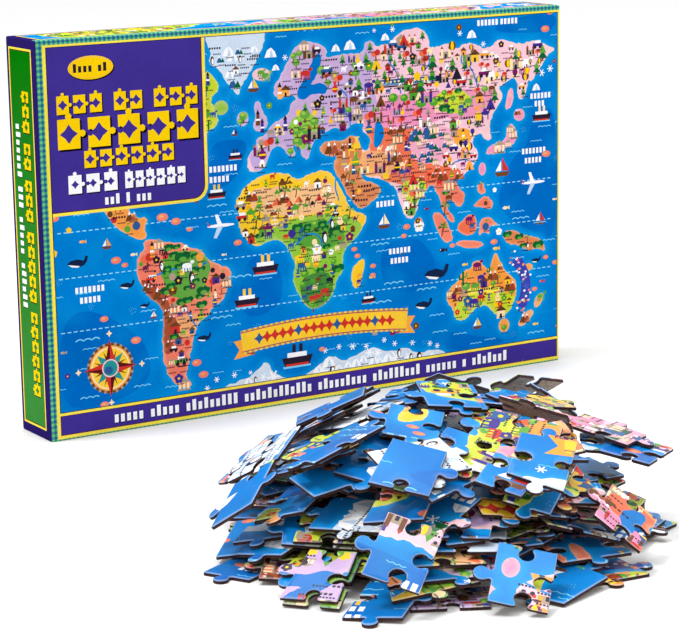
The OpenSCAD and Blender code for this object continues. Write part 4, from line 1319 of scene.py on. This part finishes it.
def match(loop):
    """The piece whose printed side is this outline, and the turn and shift that lay it there, or None."""
    centre = loop.mean(0)
    spans = (np.cross(a - centre, b - centre) for a, b in zip(loop, np.roll(loop, -1, 0)))
    size = np.linalg.norm(sum(spans)) / 2
    steps = steps_along(loop)
    best = None
    for cell, line in outlines.items():
        if abs(areas[cell] - size) > AREA_SLACK or len(line) != len(loop):
            continue
        wanted = steps_along(line)
        for offset in range(len(line)):
            error = np.abs(np.roll(steps, -offset) - wanted).max()
            if best is None or error < best[0]:
                best = error, cell, offset
    if best is None or best[0] > STEP_SLACK:
        return None
    _, cell, offset = best
    here = np.roll(loop, -offset, 0)
    flat = np.column_stack([outlines[cell], np.zeros(len(here))])
    u, _, v = np.linalg.svd((here - here.mean(0)).T @ (flat - flat.mean(0)))
    turn = u @ np.diag([1, 1, np.sign(np.linalg.det(u @ v))]) @ v
    return Placed(cell, turn, here.mean(0) - turn @ flat.mean(0))


def placed_pieces(node):
    """Which piece each solid of a CAD node is, and how it lies."""
    points, parts = solids(node)
    for faces in parts:
        found = [m for m in map(match, rim_loops(points, faces)) if m]
        if len(found) != 1:
            raise ValueError(f"{node}: a solid matches {len(found)} sides of the cut puzzle")
        yield found[0]


# ---------------------------------------------------------------- the pieces

MAP_LOW = np.array([5.0, -9.0])  # the corner of the map at the puzzle's lower left
MAP_SCALE = PUZZLE_LENGTH / 322.0  # the puzzle shows this length of the map
TOP_RADIUS, BACK_RADIUS = 0.6, 0.2
TOP_RINGS = (0.25, 1.0)  # where the rounded edge of the top is cut, as shares of its radius
TOP_PITCH = 3.5  # of the loose points in a piece's top
EDGE_WEAR_AND_HIGHLIGHT = 0.3  # how far the top's rounded edge is paled towards white: partly the white paper showing where the print is stretched over the edge, partly a painted highlight along the edge
EDGE_DARK, EDGE_BROWN, BACK_GREY = (
    np.array(linear(*rgb)) for rgb in ((12, 16, 34), (74, 48, 40), (150, 140, 128)))


def draw_puzzle():
    """The puzzle's picture, in millimetres of the puzzle."""
    art = Drawing()
    high = MAP_LOW + np.array([PUZZLE_LENGTH, PUZZLE_HEIGHT]) / MAP_SCALE
    draw_map(art, art.add("sea", slab(*(MAP_LOW - 1), *(high + 1))))
    return finished([shape._replace(outline=(shape.outline - MAP_LOW) * MAP_SCALE) for shape in art.shapes])


puzzle_picture = draw_puzzle()


def loose_piece(placed, body, node):
    """One piece: a printed top with a rounded edge, a cut side of bare board, and a plain back."""
    outline = outlines[placed.cell]
    rings = [grown(outline, -TOP_RADIUS * share) for share in TOP_RINGS]
    lines = [np.vstack([ring, ring[:1]]) for ring in rings]
    spots = grid(outline.min(0), outline.max(0), TOP_PITCH)
    flat, triangles, inks = cut(outline, puzzle_picture, lines, spots)
    drop = np.clip(1 - away(outline, flat) / TOP_RADIUS, 0, 1)
    top = np.column_stack([flat, -TOP_RADIUS * (1 - np.sqrt(1 - drop ** 2))])
    colours = []
    for triangle, colour in zip(triangles, inks):
        for vertex in triangle:
            ink = inked(colour or "sea", *(MAP_LOW + flat[vertex] / MAP_SCALE))
            # the rounded edge of the top is paled towards white all round: partly worn print, partly a
            # painted highlight
            colours.append(blend(ink, INK["snow"], EDGE_WEAR_AND_HIGHLIGHT * drop[vertex]))
    # the side and the back hang from the top's own boundary, so that the piece is closed
    loop = boundary(triangles)
    count, base = len(loop), len(top)
    rim = flat[loop]
    low = np.column_stack([rim, np.full(count, BACK_RADIUS - THICK)])
    inner = np.column_stack([grown(rim, -BACK_RADIUS), np.full(count, -THICK)])
    faces = list(triangles)
    for k in range(count):
        n = (k + 1) % count
        faces.append([loop[n], loop[k], base + k, base + n])
        faces.append([base + n, base + k, base + count + k, base + count + n])
        colours += [EDGE_DARK, EDGE_DARK] + [EDGE_BROWN] * 6
    faces.append([base + count + k for k in reversed(range(count))])
    colours += [BACK_GREY] * count
    slots = [0] * len(triangles) + [1] * (2 * count + 1)
    vertices = np.vstack([top, low, inner]) @ placed.turn.T + placed.shift
    piece = build("piece_{:02d}_{:02d}".format(*placed.cell), vertices, faces, colours, slots,
                  [puzzle_print, cut_edge], body, node)
    piece.data.polygons.foreach_set("use_smooth", [s == 0 for s in slots])


for body, members in frame["record"]["behaviour"]["bodies"].items():
    for node in members:
        if "piece" in node:
            for placed in placed_pieces(node):
                loose_piece(placed, body, node)

# ---------------------------------------------------------------- floor, light and camera

FLOOR_RADIUS = 9.0
FLOOR_GREY = 0.91
SKY = 0.7
SUN_POWER, SUN_SPREAD, SUN_FROM = 1.35, 14, (-0.4, 0.12, 0.9)
SOFTBOX_PLACE, SOFTBOX_SIZE, SOFTBOX_POWER = (0.1, -0.1, 1.6), 1.6, 18
HEAP = (-0.02, -0.22, 0.03)
CAMERA_PLACE, CAMERA_LENS = (-0.6724, -1.1263, 0.3169), 127.0
CAMERA_AXES = (0.84872, -0.52859, -0.01626), (0.12179, 0.16546, 0.97866), (-0.51462, -0.83260, 0.20480)


def add_object(name, data):
    """An object of the scene that is no part of the model."""
    made = bpy.data.objects.new(name, data)
    bpy.context.scene.collection.objects.link(made)
    return made


floor_mesh = bpy.data.meshes.new("floor")
floor_mesh.from_pydata([(x, y, 0.0) for x, y in disc(0, 0, FLOOR_RADIUS, count=64)], [], [range(64)])
floor = add_object("floor", floor_mesh)
floor_material, _, connect = new_material("pale_floor", 0.6, specular=0.2)
connect((FLOOR_GREY, FLOOR_GREY, FLOOR_GREY, 1), "Base Color")
floor_mesh.materials.append(floor_material)

world = bpy.data.worlds.new("studio")
world.use_nodes = True
world.node_tree.nodes["Background"].inputs["Color"].default_value = (1.0, 1.0, 1.0, 1)
world.node_tree.nodes["Background"].inputs["Strength"].default_value = SKY
bpy.context.scene.world = world

sun = bpy.data.lights.new("sun", "SUN")
sun.energy = SUN_POWER
sun.angle = math.radians(SUN_SPREAD)
add_object("sun", sun).rotation_euler = Vector(SUN_FROM).to_track_quat("Z", "Y").to_euler()

softbox = bpy.data.lights.new("overhead", "AREA")
softbox.size = SOFTBOX_SIZE
softbox.energy = SOFTBOX_POWER
overhead = add_object("overhead", softbox)
overhead.location = SOFTBOX_PLACE
overhead.rotation_euler = (Vector(HEAP) - Vector(SOFTBOX_PLACE)).to_track_quat("-Z", "Y").to_euler()

camera_data = bpy.data.cameras.new("camera")
camera_data.sensor_width = 36.0
camera_data.lens = CAMERA_LENS
camera = add_object("camera", camera_data)
camera.matrix_world = Matrix.Translation(CAMERA_PLACE) @ Matrix(CAMERA_AXES).transposed().to_4x4()
bpy.context.scene.camera = camera
bpy.context.scene.view_settings.view_transform = "Standard"
